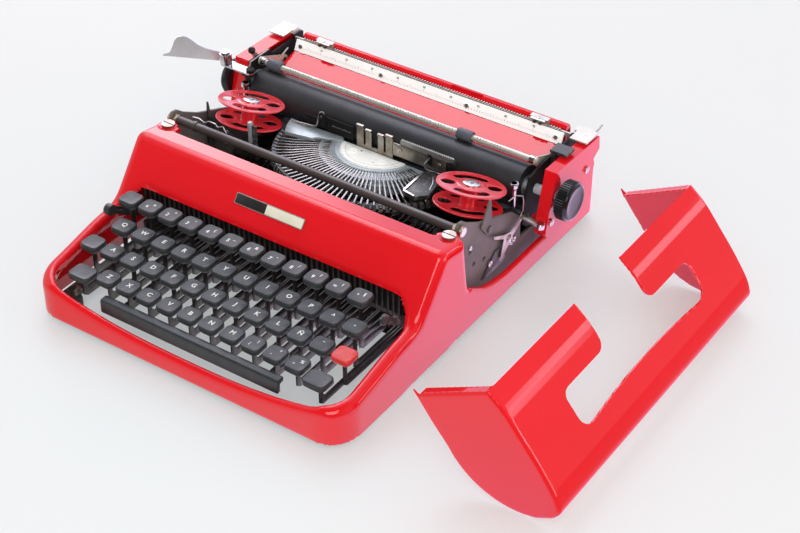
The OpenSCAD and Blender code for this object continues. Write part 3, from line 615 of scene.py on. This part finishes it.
# Keys: each row gives the place of its first key, then its legends with a bar between two keys
NUMBER_ROW = (-108.6, 85.5, 69)
TOP_ROW = (-99.7, 65.9, 59)
HOME_ROW = (-113.5, 46.5, 50)
BOTTOM_ROW = (-82.45, 27.4, 42.5)
LEGENDS = {
    NUMBER_ROW: "|« »|2 \"|3 '|4 (|5 _|6 &|7 -|8 /|9 ?|= !|° §",
    TOP_ROW: "Q|W|E|R|T|Y|U|I|O|P|^|-",
    HOME_ROW: "|A|S|D|F|G|H|J|K|L|Ñ|¨|",
    BOTTOM_ROW: "Z|X|C|V|B|N|M|; !|. \"|- %",
}
KEY_NODES = {
    "number_row_keys": (NUMBER_ROW, range(1, 12)),
    "top_row_keys": (TOP_ROW, range(11)),
    "home_row_keys": (HOME_ROW, [i for i in range(1, 12) if i != 5]),
    "bottom_row_keys": (BOTTOM_ROW, range(10)),
    "margin_release_key": (NUMBER_ROW, [0]),
    "backspace_key": (TOP_ROW, [11]),
    "shift_lock_key": (HOME_ROW, [0]),
    "tab_key": (HOME_ROW, [12]),
    "letter_g_key": (HOME_ROW, [5]),
}
# Place of a legend from the middle of its keytop, then its size
SINGLE_SPOT = [(0, 0.9, -0.36, 5.6)]
PAIR_SPOTS = [(-2.1, -1.0, -0.36, 4.9), (2.3, 2.6, -0.3, 4.3)]
# Rings of a keytop from its dish to its foot: narrower by, shorter by, corner radius, height
KEY_RINGS = ((10.4, 10.4, 2.0, -0.44), (5.6, 5.6, 2.8, -0.34), (3.0, 3.0, 3.3, -0.12),
             (2.0, 2.0, 3.5, -0.01), (1.3, 1.3, 3.7, -0.08), (0.6, 0.6, 3.8, -0.42), (0.1, 0.1, 3.9, -1.1),
             (0, 0, 3.9, -4.0), (0.5, 0.5, 3.8, -4.5), (4.0, 3.4, 3.0, -4.8), (4.4, 3.8, 2.8, -6.5),
             (5.2, 4.6, 2.4, -7.0))


def square_ring(w, l, r, n=5):
    """Points round a rectangle with soft corners."""
    out = []
    for cx, cy, a in ((1, 1, 0), (-1, 1, 90), (-1, -1, 180), (1, -1, 270)):
        out += arc(cx * (w / 2 - r), cy * (l / 2 - r), r, a, a + 90, n)
    return out


def keycap(piece, x, y, z, w=16.0, l=15.6):
    """Square top with a shallow dish, a rounded rim, and a narrower foot."""
    rings = [[(x + a, y + b, z + height) for a, b in square_ring(w - less_w, l - less_l, r)]
             for less_w, less_l, r, height in KEY_RINGS]
    n = len(rings[0])
    v = sum(rings, []) + [(x, y, z - 0.45)]
    *sides, _, foot = ring_faces(len(rings), n)
    dish = [(len(v) - 1, i, (i + 1) % n) for i in range(n)]
    piece.add(v, [(a, d, c, b) for a, b, c, d in sides] + dish + [foot[::-1]])


def key_lever(piece, x, y, z, step=0.0):
    hub = arc(*KEY_LEVER_ROD, 4.4, 60, -60, 8)
    pts = [(y + 5, 26), (y + 2, 29), (y + 2, z), (y - 2, z), (y - 2, 23), (y + 2, 20)] + hub[::-1]
    piece.prism("x", x - 0.6, x + 0.6, pts, 1, 0.15)
    if step:
        piece.box((min(x, x - step) - 0.6, y - 2, z - 3), (max(x, x - step) + 0.6, y + 2, z), 1, 0.2)


def legend(items, depth=0.06):
    """Letters and figures as thin raised meshes: items hold text, its place and plane, and its size."""
    verts, faces = [], []
    for text, matrix, size in items:
        cu = bpy.data.curves.new("t", "FONT")
        cu.body = text
        cu.size = size
        cu.align_x, cu.align_y = "CENTER", "CENTER"
        cu.extrude = depth / 2
        cu.offset = 0.024 * size
        cu.resolution_u = 3
        ob = put_in_scene("t", cu)
        bpy.context.view_layer.update()
        me = bpy.data.meshes.new_from_object(ob.evaluated_get(bpy.context.evaluated_depsgraph_get()))
        n = len(verts)
        verts += [matrix @ p.co for p in me.vertices]
        faces += [[i + n for i in p.vertices] for p in me.polygons]
        bpy.data.objects.remove(ob)
        bpy.data.curves.remove(cu)
        bpy.data.meshes.remove(me)
    return verts, faces


def keys(node, row, places):
    first_x, y, z = row
    p = Piece(node + "_caps", node + "_body", RED_KEY if node == "tab_key" else KEY, LEVER, LEGEND)
    items = []
    for i in places:
        x = first_x + KEY_PITCH * i
        keycap(p, x, y, z)
        key_lever(p, x, y, z - 6.9)
        signs = LEGENDS[row].split("|")[i].split()
        spots = PAIR_SPOTS if len(signs) > 1 else SINGLE_SPOT
        for sign, (dx, dy, dz, size) in zip(signs, spots):
            items.append((sign, Matrix.Translation((x + dx, y + dy, z + dz)), size))
    p.add(*legend(items), 2)
    p.done(replaces=(node,))


def shift_key(node, x, y, arm):
    p = Piece(node + "_cap", node + "_body", KEY, LEVER)
    keycap(p, x, y, 43, 19.0, 16.0)
    key_lever(p, arm, y, 36.1, step=arm - x)
    p.done(replaces=(node,))


def space_bar():
    """A thin channel with soft ends on two levers."""
    p = Piece("space_bar_channel", "space_bar_body", KEY, LEVER)
    section = ([(9.7, 24.5), (9.75, 31)] + arc(11.7, 33.6, 1.9, 180, 100, 5) + [(15.4, 35.55)]
               + arc(15.9, 34.5, 1.05, 80, -10, 4) + [(16.9, 33.2), (12.6, 32.4), (12.1, 31.6), (11.9, 24.5)])
    ends = [(-76.5, 0.8), (-76.1, 0.96), (-75.4, 1.0), (84.0, 1.0), (84.6, 0.96), (85.0, 0.8)]
    v = [(x, 13.2 + (a - 13.2) * k, 30 + (b - 30) * k) for x, k in ends for a, b in section]
    p.add(v, ring_faces(len(ends), len(section)))
    for x in (-66.8, 66.3):
        key_lever(p, x, 14.2, 30)
    p.done(replaces=("space_bar",))


def nameplate():
    """Bare: a dark part and a cream part in a thin raised frame."""
    p = Piece("bare_nameplate", "body_frame", PLATE_CREAM, PLATE_DARK, NICKEL)
    m = leaning((-3, 118.2, 79.8), 53)
    p.prism("z", 0.02, 0.55, square_ring(62, 8.5, 0.8, 3), 2, 0.1, m)
    p.box((-30.4, -3.6, 0.4), (-3.2, 3.6, 0.8), 1, 0.12, m)
    p.box((-3.0, -3.6, 0.4), (30.4, 3.6, 0.8), 0, 0.12, m)
    p.done(replaces=("nameplate",))


# CAD nodes that are shown as they are, with softened edges
FINISH = {
    RED: ["end_covers", "rear_bar", "paper_table"],
    BAR: ["typebars"],
    NICKEL: ["struck_typebar", "margin_rack", "left_margin_stop", "right_margin_stop"],
    CREAM: ["left_release_tab", "right_release_tab", "paper_bail"],
    RUST: ["housing_screws", "line_space_lever", "ribbon_vibrator"],
    FOOT: ["rubber_feet"],
    DULL: ["key_lever_rod", "carriage_rails", "mainspring_drum", "escapement_wheel"],
    DARK_STEEL: ["key_comb"],
    FRAME: ["side_frames", "right_ribbon_lever"],
    MATT: ["carriage_frame"],
    BLACK: ["base_frame", "spool_decks", "type_rest", "left_ribbon_lever", "colour_selector",
            "tab_set_lever", "paper_release_lever"],
    SEGMENT: ["segment"],
    CAST: ["platen_shaft"],
    BRIGHT: ["segment_face"],
    RUBBER: ["platen"],
    GREY_RUBBER: ["bail_rollers", "feed_rollers"],
    WHITE: ["paper_scale"],
    BRASS: ["bell"],
    CHROME: ["return_arm", "return_paddle"],
}


def finish_node(o, m):
    o.data.materials.clear()
    o.data.materials.append(m)
    w = o.modifiers.new("join", "WELD")
    w.merge_threshold = 0.000005
    b = o.modifiers.new("edges", "BEVEL")
    b.width = 0.00025
    b.segments = 2
    b.limit_method = "ANGLE"
    b.angle_limit = radians(40)
    b.use_clamp_overlap = True


# Parts that the CAD leaves out or keeps plain


def stud(p, r, h, origin, direction, mi, n, soft=0.4, edge=0.6):
    """A round head with chamfered rims."""
    p.lathe([(r - edge, 0), (r, soft), (r, h - soft), (r - edge, h)], origin, direction, mi, n)


def side_linkage(side, s):
    """Levers, links and screws on the outside of a side frame; s is 1 on the right and -1 on the left."""
    p = Piece(side + "_side_linkage", "body_frame", RUST, CHROME, BLACK, STEEL, INK)
    pivot = (228.3, 45.8)
    pin_y = 246.6
    elbow = [(206, 60.5), (206.8, 57.2), (221, 49.4), (216.9, 34.6), (219, 33.2), (228.8, 40.8),
             (233.4, 45.2), (247.4, 53), (247.4, 56.4), (243.8, 56.4), (230.3, 51), (222, 52.8)]
    p.prism("x", *sorted((s * 134.2, s * 135.2)), elbow, 0, 0.2)
    p.rod((s * 132, *pivot), (s * 136, *pivot), 3.3, 1)
    p.screw((s * 136, *pivot), (s, 0, 0), 2.5, 0.9, 3)
    if s > 0:
        p.strip([(134.6, pin_y, 55.4), (140, pin_y, 54.6), (150.4, pin_y, 52.8)], 5.6, 1.8, (0, 1, 0), 0, 0.3)
        p.lathe([(2.6, 0), (3.2, 0.4), (3.2, 4.2), (2.6, 4.8)], (150.6, pin_y, 50.4), (0.1, 0, 1), 1)
    guide_pin = [(2.0, 0), (2.0, 17.0), (3.4, 17.4), (3.4, 20.0), (2.8, 20.6)]
    p.lathe(guide_pin, (s * 127, 247, 61.4), (0, 0, 1), 1)
    plate = [(194, 27), (212, 42.5), (218.6, 42.5), (226.5, 30), (223, 26.2), (200, 26.2)]
    p.prism("x", *sorted((s * 132.2, s * 133.4)), plate, 2, 0.2)
    for x, y, z, r, mi in ((133.4, 204.6, 36, 2.6, 3), (133.4, 218.5, 33, 2.2, 0), (132.1, 240, 37, 2.4, 3),
                           (132.1, 178, 66, 2.0, 3), (132.1, 150, 62, 2.2, 3)):
        p.screw((s * x, y, z), (s, 0, 0), r, 0.9, mi, turn=y)
    wire = [(127.6, 238, 71), (131, 243, 74.5), (134.6, 246.6, 73.5), (135, 247.6, 68), (134.9, 247, 60),
            (134.7, 244, 56.6)]
    p.tube([(s * x, y, z) for x, y, z in wire], 0.5, 0)
    p.spring((s * 133, 236, 36), (s * 133.4, 227, 41), 1.1, 9, 0.3, 3)
    p.done()


def stem_guide_fingers():
    """Black fingers that guide the key stems behind the number row, and a matt black sheet behind them that
    paints the shade under the front panel.
    """
    p = Piece("stem_guide_fingers", "body_frame", LEVER, MATT)
    for i in range(50):
        x = -116.6 + KEY_PITCH / 4 * i
        p.box((x - 1.0, 109.4, 40), (x + 1.0, 110.8, 61.5), 0, 0.25)
    p.box((-118, 109.6, 40), (118.5, 110.6, 44), 0, 0.3)
    # Painted shade: a matt black sheet across the width, standing for the dark under the front panel.
    p.box((-118, 113, 36), (118.5, 113.8, 64), 1, 0.2)
    p.done()


def bottom_sheet():
    """Dark sheet that closes the works from below."""
    p = Piece("bottom_sheet", "body_frame", MATT)
    p.prism("z", 8.2, 9.0, square_ring(234, 214, 8), 0, 0.2, Matrix.Translation((HOUSING_SHIFT, 229, 0)))
    p.done()


def tie_rod():
    """Tie rod with bright nuts and a collar."""
    p = Piece("tie_rod_dressed", "body_frame", ROD, BRASS, STEEL)
    along = (1, 0, 0)
    end = TIE_ROD_END
    p.lathe([(2.9, -end), (3.3, 0.4 - end), (3.3, end - 0.4), (2.9, end)], (0, *TIE_ROD), along, 0)
    for x in (127, -129.9, 132.05, -134.9):
        stud(p, 4.6, 2.85, (x, *TIE_ROD), along, 1, 6)
        stud(p, 3.6, 3.4, (x - 0.3, *TIE_ROD), along, 2, 24, 0.2, 0.2)
    p.lathe([(3.2, 0), (4.1, 0.2), (4.1, 2.4), (3.2, 2.6)], (-111, *TIE_ROD), along, 0, 24)
    p.done(replaces=("front_tie_rod",))


def left_latch_wires():
    """Bent wires and a bright latch behind the rod's left end."""
    p = Piece("left_latch_wires", "body_frame", STEEL, RUST)
    p.tube([(-122, 172, 84), (-119, 172.6, 90.5), (-113, 173, 91), (-108, 173, 89), (-104, 173.4, 91.4),
            (-98, 174, 91), (-96, 174, 88.6), (-91, 174.5, 90.6), (-88, 174.5, 86)], 0.55, 0)
    p.strip([(-124, 170.4, 84.5), (-114, 170.8, 84.8), (-104, 171, 82.5)], 2.6, 0.8, (0, 0.4, 1), 0)
    p.tube([(-96, 196, 60), (-95, 190, 72), (-97, 186, 79), (-94, 184, 80)], 0.45, 1)
    p.done()


def typebar_end_plates():
    """End plates beside the typebar heads. A pale block beside the left plate and bright strips on the right
    cover's edges are painted highlights.
    """
    p = Piece("typebar_end_plates", "body_frame", CAST, BLACK, STEEL)
    # Painted highlight: this pale block paints the bright left edge of the black plate beside it.
    p.box((-84.4, 195.6, 58), (-81.6, 199.4, 86), 0, 0.5)
    p.box((-81.7, 197.6, 56), (-77.4, 199, 83), 1, 0.3)
    cover = [(51.4, 236), (54.4, 241), (60, 243.4), (69, 238), (72.4, 214), (64.6, 206), (52.6, 208)]
    p.prism("z", 64.6, 68.4, cover, 1, 0.5)
    # Painted highlights: bright steel strips along two edges of the black cover.
    p.strip([(52.2, 236, 68.9), (53.4, 209, 68.9)], 1.9, 0.6, (1, 0, 0), 2)
    p.strip([(53.2, 208.6, 68.9), (64.2, 206.8, 68.9)], 1.9, 0.6, (0, 1, 0), 2)
    p.tube([(62, 236, 69), (68, 226, 70.5), (70, 215, 66), (70.2, 211, 58)], 0.5, 2)
    p.done()


def card_holder():
    """Card holders, their toothed scale, wire loops and knob."""
    p = Piece("card_holder", "body_frame", RUST, NICKEL, MATT, STEEL, INK)
    back = (0, 1, 0)
    p.box((17.6, 246.4, 66.5), (66, 247.6, 77.6), 0, 0.3)
    teeth = [(25, 78.2)] + [(25 + 0.96 * i, 83.4 if i % 2 else 82.5) for i in range(51)] + [(73, 78.2)]
    p.prism("y", 246.0, 247.8, teeth, 1)
    p.box((25, 245.7, 78.0), (73, 246.3, 79.0), 4, 0.1)
    p.lathe([(2.4, 0), (3.2, 0.4), (3.3, 4.4), (2.7, 6.4)], (74.4, 240.6, 80.2), back, 2, 28)
    # Painted shade: the left holder is the same steel as the right one, but is matt black for the dark that
    # it mirrors on this side.
    p.box((-46, 246.4, 65.5), (-20, 247.6, 78), 2, 0.4)
    p.box((-66, 246.4, 66.5), (-46.2, 247.4, 74.5), 2, 0.4)
    p.box((-40, 245.7, 72), (-22, 246.3, 73), 0, 0.1)
    stud(p, 2.8, 1.9, (-49.4, 244.6, 78.4), back, 2, 28, 0.3)
    p.lathe([(0.9, 0), (0.9, 0.1)], (-49.4, 244.55, 78.4), back, 1, 16)
    p.strip([(-49.4, 245.6, 78.4), (-47.4, 245.6, 70)], 3.6, 1.0, (1, 0, 0.2), 2)
    p.tube([(-78.2, 244, 61.5), (-77.2, 244, 63.6), (-72, 244.2, 65.2), (-58, 244.6, 66.6),
            (-55, 244.9, 67.6), (-53.6, 245.2, 71), (-52.6, 245.4, 77.5), (-51.4, 245.5, 80.8),
            (-49, 245.5, 82.0), (-47, 245.5, 80.9)], 0.72, 3)
    p.tube([(66, 245.6, 66.2), (60, 245, 66.1), (51, 244.6, 66.0), (48.6, 244.6, 67.2), (48.8, 244.8, 71),
            (51.2, 245.2, 75), (52.6, 245.8, 77.4)], 0.72, 3)
    p.box((50.4, 245.2, 70.5), (53.6, 246.5, 79.6), 2, 0.3)
    for x in (24, 60.5):
        p.screw((x, 246.4, 73), (0, -1, 0), 1.7, 0.7, 3)
    p.done(replaces=("card_scale",))


def left_segment_arm():
    """Pale arm of the segment's casting on the left, over the bars' ends."""
    p = Piece("left_segment_arm", "body_frame", CAST, STEEL)
    p.prism("z", 60.4, 64, [(-82, 248), (-61, 247), (-31, 248.5), (-27, 244), (-47.5, 237), (-51, 233),
                            (-74.5, 229), (-79, 238)], 0, 0.5)
    p.prism("z", 56.4, 61, [(-51.5, 234.4), (-51, 233), (-74.5, 229), (-75.2, 230.4)], 0, 0.2)
    p.prism("z", 57.4, 61, [(-28, 245.4), (-27, 244), (-47.5, 237), (-48.4, 238.4)], 0, 0.2)
    p.done()


def segment_face_trim():
    """Lines and rivets on the segment's bright face."""
    basket = leaning(SEGMENT_PLACE, -6)
    p = Piece("segment_face_trim", "type_basket", DULL, STEEL)
    lines = ((25.2, 2, -168, -12, 48, 0.12, 0), (28.9, 2, -168, -12, 48, 0.12, 0),
             (38, 1, -170, -10, 60, 0.2, 1))
    for r, z, start, end, n, wire, mi in lines:
        p.tube([basket @ Vector((*q, z)) for q in arc(0, 0, r, start, end, n)], wire, mi, 6)
    for x, y in ((-8.5, -9.5), (9, -19.5)):
        p.lathe([(0.9, -0.2), (0.9, 0.15), (0.6, 0.3)], basket @ Vector((x, y, 2)), (0, 0.1, 1), 1, 16)
    p.done()


BAIL_FACE = tilted(BAIL[0] - 0.6 * BAIL_HEIGHT, BAIL[1] + 0.8 * BAIL_HEIGHT, 0.8, 0.6)
SCALE_FACE = tilted(313.2, 79.8, 0.4308, 0.9026)


def paper_scale_marks():
    """Graduations and figures of the paper scale."""
    p = Piece("paper_scale_marks", "carriage", INK)
    *sides, first, last = ring_faces(2, 4)
    items = []
    for i in range(-47, 48):
        x = i * INCH_TENTH
        top = 2.6 + (2.6 if i % 5 == 0 else 1.5)
        corners = ((-0.13, 2.6), (0.13, 2.6), (0.13, top), (-0.13, top))
        q = [SCALE_FACE @ Vector((x + dx, y, 0.03)) for dx, y in corners]
        p.add(q + [v + Vector((0, -0.045, 0.02)) for v in q], [first, last] + sides)
        if i % 10 == 0 and abs(i) < 46:
            items.append((str(abs(i + 50)), SCALE_FACE @ Matrix.Translation((x, 6.9, 0.05)), 2.5))
    p.add(*legend(items, 0.05))
    p.done()


def bail_graduations():
    """Marks on the paper bail, and the wire of its small lever."""
    p = Piece("bail_graduations", "paper_bail_body", INK, STEEL)
    p.tube([(-129.9, 307.6, 84), (-129.9, 302, 81.8), (-129.9, 294.6, 79)], 0.8, 1)
    for i in range(-40, 41):
        if i % 5:
            x = i * INCH_TENTH
            p.box((x - 0.3, 0, 0), (x + 0.3, 0.9, 0.12), 0, 0, BAIL_FACE)
    p.done()


def carriage_screws():
    p = Piece("carriage_screws", "carriage", STEEL, CHROME, INK)
    out = SCALE_FACE.to_3x3() @ Vector((0, 0, 1))
    for x in (-122, -41, 41, 122):
        p.screw(SCALE_FACE @ Vector((x, 4.6, 0.3)), out, 1.9, 1.0, 0, turn=x)
    for y, z in ((258.8, 49.7), (310, 68.8)):
        for s, x in ((1, 153.3), (-1, -149.9)):
            p.screw((x, y, z), (s, 0, 0), 2.9, 0.9, 0, turn=z)
    for s in (1, -1):
        p.lathe([(2.6, 0), (3.2, 0.4), (3.2, 4), (2.4, 4.4)], (s * 128.9, *BAIL), (-s, 0, 0), 1, 24)
    p.tube([(148.8, 327, 91.6), (150.4, 330.4, 93.4), (151.6, 333.6, 96.4)], 0.7, 0)
    p.done()


def stop_details(side, x):
    """Cap, jaws and screw of a margin stop."""
    p = Piece(side + "_stop_details", side + "_margin_stop_body", CREAM, DARK_STEEL, INK)
    p.box((x - 6.5, 316.4, 92.05), (x + 6.5, 321.8, 93.0), 0, 0.3)
    p.box((x - 3.6, 315.6, 89.4), (x - 1.4, 319.0, 92.2), 1, 0.3)
    p.box((x + 1.6, 315.6, 89.4), (x + 3.8, 319.0, 92.2), 1, 0.3)
    p.screw((x, 319.4, 93), (0, 0, 1), 1.5, 0.5, 0)
    p.done()


def left_end_bracket():
    p = Piece("left_end_bracket", "carriage", RUST, NICKEL)
    p.prism("x", -133.4, -132.3, [(285.5, 92), (261.6, 91.4), (259.5, 86.5), (255.3, 74.5), (252.6, 62),
                                  (257, 62), (260.4, 75), (264.6, 85.6), (270, 87.6), (285.5, 88)], 0, 0.15)
    # Painted highlight: a bright nickel wire along the bracket's front edge.
    edge = ((285.5, 92), (261.6, 91.6), (259.3, 86.5), (255.1, 74.5), (252.4, 62))
    p.tube([(-132.8, y, z) for y, z in edge], 0.5, 1)
    p.done()


def line_space_ball():
    p = Piece("line_space_ball", "line_space_lever_body", KNOB, STEEL)
    ball = [(3.1 * sin(radians(a)), -3.1 * cos(radians(a))) for a in range(4, 180, 11)]
    p.lathe(ball, (-137.6, 270.3, 96.8), (0.1, 0, 1), 0, 24)
    p.rod((-136, 270.8, 91), (-137.4, 270.4, 95), 0.9, 1)
    p.done()


def spool_field(x, y, z):
    """Two flanges with round and long holes on a hub, and the spindle."""
    rad = np.hypot(x, y)

    def flange(height):
        disc = both(rad - 26.1, abs(z - height) - 0.5)
        return join(disc, np.hypot(rad - 26.0, z - height) - 0.75)

    d = join(flange(0.5), flange(15.9))
    for degrees in (32, 122, 212, 302):
        c, s = cos(radians(degrees)), sin(radians(degrees))
        u, w = x * c + y * s, y * c - x * s
        if degrees % 180 == 32:
            hole = np.hypot(u - 17.5, w) - 5.4
        else:
            q = np.clip(np.arctan2(w, u), -0.58, 0.58)
            hole = np.hypot(u - 17.5 * np.cos(q), w - 17.5 * np.sin(q)) - 3.9
        d = both(d, -hole)
    d = join(d, both(rad - 6.5, abs(z - 8) - 7.4))
    d = join(d, np.hypot(np.maximum(rad - 10.4, 0), z - 16.4) - 0.4)
    return join(d, both(rad - 2.5, both(-8 - z, z - 16.5)))


def spools():
    v, f = surface(spool_field, (-27.4, -27.4, -8.6), (27.4, 27.4, 17.6), 0.5 if FINE else 0.7)
    x, y, z = SPOOL_PLACE
    for s, side in ((-1, "left"), (1, "right")):
        m = leaning((s * x, y, z), SPOOL_LEAN)
        turn = m.to_3x3()
        axis = turn @ Vector((0, 0, 1))
        p = Piece(side + "_spool_enamelled", side + "_spool_body", SPOOL, STEEL, INK)
        p.add(v @ np.array(turn).T + np.array(m.translation), f.tolist())
        p.lathe([(5.2, 0), (6.6, 0.15), (6.6, 1.4), (6.1, 1.7), (2.3, 1.7), (2.1, 1.2)],
                m @ Vector((0, 0, 16.4)), axis, 1, 36)
        for k in range(4):
            a = radians(k * 90 + 20)
            rivet = m @ Vector((4.3 * cos(a), 4.3 * sin(a), 18.05))
            p.lathe([(0.55, 0), (0.55, 0.12)], rivet, axis, 2, 10)
        p.box((-0.8, -1.7, 17.5), (0.8, 1.7, 17.8), 2, 0.1, m)
        p.done(replaces=(side + "_spool",))


def platen_knobs():
    """Ribbed hand knobs on both ends of the platen."""
    p = Piece("platen_hand_knobs", "platen_roll", KNOB, STEEL)
    turns = [2 * pi * i / 192 for i in range(192)]
    radii = [15.75 if i % 4 < 2 else 15.2 for i in range(192)]
    ribs = [(PLATEN[0] + r * cos(a), PLATEN[1] + r * sin(a)) for r, a in zip(radii, turns)]
    for s, x, wide in ((1, 157.6, 10.8), (-1, 149.9, 8.0)):
        p.lathe([(12.8, 0), (14.8, 0.3), (15.1, 1.2), (15.1, wide - 2.8), (14.5, wide - 2.4),
                 (14.7, wide - 2.0), (14.2, wide - 0.7), (13.2, wide - 0.1), (12.2, wide),
                 (11.4, wide - 0.3), (6, wide - 0.6), (0.5, wide - 0.7)], (s * x, *PLATEN), (s, 0, 0), 0, 72)
        p.prism("x", *sorted((s * (x + 1.1), s * (x + wide - 3.0))), ribs, 0)
    p.rod((153.6, *PLATEN), (158, *PLATEN), 6.4, 1)
    p.done(replaces=("platen_knobs",))


# Floor, light and camera


def floor_material():
    """Pale floor, tinted cooler near the machine against the red light that the machine throws on it (painted
    light), evened out for the camera and brighter in mirror rays.
    """
    m, t, b = tree("pale_floor")
    place = object_place(t)
    # Painted light: near the machine the floor is tinted cooler, in its colour and in its glow for the
    # camera, against the red light that the machine throws on it.
    near = from_to(t, vector_value(t, "LENGTH", place), 0.42, 0.18)
    pale = ramp(t, noise(t, 1.5, 2), [(0.3, grey(0.82)), (0.7, grey(0.85))])
    fill(t, b.inputs["Base Color"], blend_colour(t, near, pale, (0.79, 0.835, 0.84)))
    fill(t, b.inputs["Roughness"], 0.5)
    # What shiny sides mirror: brighter towards the back right, and dark beyond the machine's right side
    along = from_to(t, vector_value(t, "DOT_PRODUCT", place, (0.56, 0.83, 0)), -0.3, 0.2)
    mirrored = ramp(t, along, [(0.15, grey(0.5)), (0.45, (0.9, 0.9, 1.0)), (0.75, (1.3, 1.0, 1.45))])
    beside = from_to(t, new_node(t, "SeparateXYZ", {0: place}).outputs["X"], 0.34, 0.28)
    mirrored = blend_colour(t, beside, (0.22, 0.22, 0.23), mirrored)
    even = blend_colour(t, near, (0.82, 0.825, 0.83), (0.80, 0.825, 0.84))
    rays = new_node(t, "LightPath").outputs
    share = new_node(t, "Math", {0: rays["Is Camera Ray"], 1: 0.42}, operation="MULTIPLY").outputs["Value"]
    shader = b.outputs["BSDF"]
    for amount, colour, strength in ((rays["Is Glossy Ray"], mirrored, 1.4), (share, even, 1.0)):
        light = new_node(t, "Emission", {"Color": colour, "Strength": strength}).outputs["Emission"]
        shader = new_node(t, "MixShader", {0: amount, 1: shader, 2: light}).outputs["Shader"]
    fill(t, t.nodes["Material Output"].inputs["Surface"], shader)
    return m


def add_floor():
    bpy.ops.mesh.primitive_circle_add(vertices=96, radius=7, fill_type="NGON", location=(0, 0, 0))
    floor = bpy.context.object
    floor.name = "floor"
    floor.data.materials.append(floor_material())


# Bright patches of the room, for mirror rays only: direction, inner and outer angle, colour
GLOWS = (
    ((-0.35, 0.68, 0.62), 26, 66, (1.35, 1.4, 1.85)),
    ((-0.45, 0.26, 0.85), 7, 24, (3.8, 3.8, 4.4)),
    ((-0.66, 0.66, 0.36), 4, 15, (6, 5.4, 5.8)),
    ((0.9, 0.35, 0.25), 20, 60, (0.6, 0.6, 0.64)),
    ((-0.95, -0.15, 0.45), 8, 42, (0.8, 0.8, 0.85)),
)


def glow(t, view, direction, inner, outer, colour, base):
    """Adds a soft bright patch of the room round a direction."""
    dot = vector_value(t, "DOT_PRODUCT", view, Vector(direction).normalized())
    start, end = [cos(radians(a)) for a in (outer, inner)]
    return blend_colour(t, from_to(t, dot, start, end, "SMOOTHSTEP"), base, colour)


def add_room():
    world = bpy.data.worlds.new("studio")
    bpy.context.scene.world = world
    world.use_nodes = True
    t = world.node_tree
    view = new_node(t, "TexCoord").outputs["Generated"]
    room = (0.12, 0.12, 0.13)
    for patch in GLOWS:
        room = glow(t, view, *patch, room)
    # A level band of light on the right, for the line along the housing's edges
    height = new_node(t, "SeparateXYZ", {0: view}).outputs["Z"]
    band = ramp(t, height, [(0.26, grey(0)), (0.29, grey(1)), (0.37, grey(1)), (0.40, grey(0))])
    side = glow(t, view, (0.7, 0.66, 0.31), 24, 34, grey(1), grey(0))
    room = blend_colour(t, blend_colour(t, 1.0, band, side, "MULTIPLY"), room, (3.4, 3.3, 3.8))
    mirror_ray = new_node(t, "LightPath").outputs["Is Glossy Ray"]
    background = t.nodes["Background"].inputs
    fill(t, background["Color"], blend_colour(t, mirror_ray, grey(0.80), room))
    fill(t, background["Strength"], 1.0)


def add_lamp(name, place, target, size, power, colour):
    lamp = bpy.data.lights.new(name, "AREA")
    lamp.shape = "RECTANGLE"
    lamp.size, lamp.size_y = size
    lamp.energy = power
    lamp.color = colour
    o = put_in_scene(name, lamp)
    o.location = place
    o.rotation_mode = "QUATERNION"
    o.rotation_quaternion = (Vector(target) - Vector(place)).to_track_quat("-Z", "Y")


def add_camera():
    """The photo's viewing angle; the place is in millimetres along the camera's own axes."""
    azimuth, elevation, roll = [radians(a) for a in (34.3, 36.99, 0.07)]
    right_by, up_by, back_by = 159.03, 83.19, 1286.9
    back = Vector((sin(azimuth) * cos(elevation), -cos(azimuth) * cos(elevation),
                   sin(elevation)))
    right = Vector((cos(azimuth), sin(azimuth), 0))
    up = back.cross(right)
    x_axis = right * cos(roll) + up * sin(roll)
    y_axis = up * cos(roll) - right * sin(roll)
    data = bpy.data.cameras.new("camera")
    camera = put_in_scene("camera", data)
    data.lens, data.sensor_width, data.sensor_fit, data.clip_end = 81.55, 36, "HORIZONTAL", 30
    m = Matrix((x_axis, y_axis, back)).transposed().to_4x4()
    m.translation = (right * right_by + up * up_by + back * back_by) / 1000 + Vector(to_scene((0, 0, 0)))
    camera.matrix_world = m
    bpy.context.scene.camera = camera


housing()
ribbon_cover()
for key_node, (key_row, key_places) in KEY_NODES.items():
    keys(key_node, key_row, key_places)
shift_key("left_shift_key", -101.8, 21.3, -101.8)
shift_key("right_shift_key", 110.5, 21.7, 112.8)
space_bar()
nameplate()
for finish, node_names in FINISH.items():
    for node_name in node_names:
        finish_node(NODES[node_name], finish)
side_linkage("right", 1)
side_linkage("left", -1)
stem_guide_fingers()
bottom_sheet()
tie_rod()
left_latch_wires()
typebar_end_plates()
card_holder()
left_segment_arm()
segment_face_trim()
paper_scale_marks()
bail_graduations()
carriage_screws()
stop_details("left", -101)
stop_details("right", 104)
left_end_bracket()
line_space_ball()
spools()
platen_knobs()
add_floor()
add_room()
add_lamp("top_softbox", (-0.9, 1.4, 2.0), (0.05, 0, 0), (1.5, 1.0), 9, (0.96, 0.98, 1))
add_lamp("right_softbox", (2.4, 0.5, 0.5), (0.14, 0, 0), (1.2, 0.8), 9, (1, 0.97, 0.96))
add_lamp("front_softbox", (1.2, -1.6, 1.6), (0.05, 0, 0), (1.1, 1.1), 17, (1, 0.98, 0.95))
add_camera()
bpy.context.scene.view_settings.view_transform = "Standard"

bpy.context.view_layer.update()
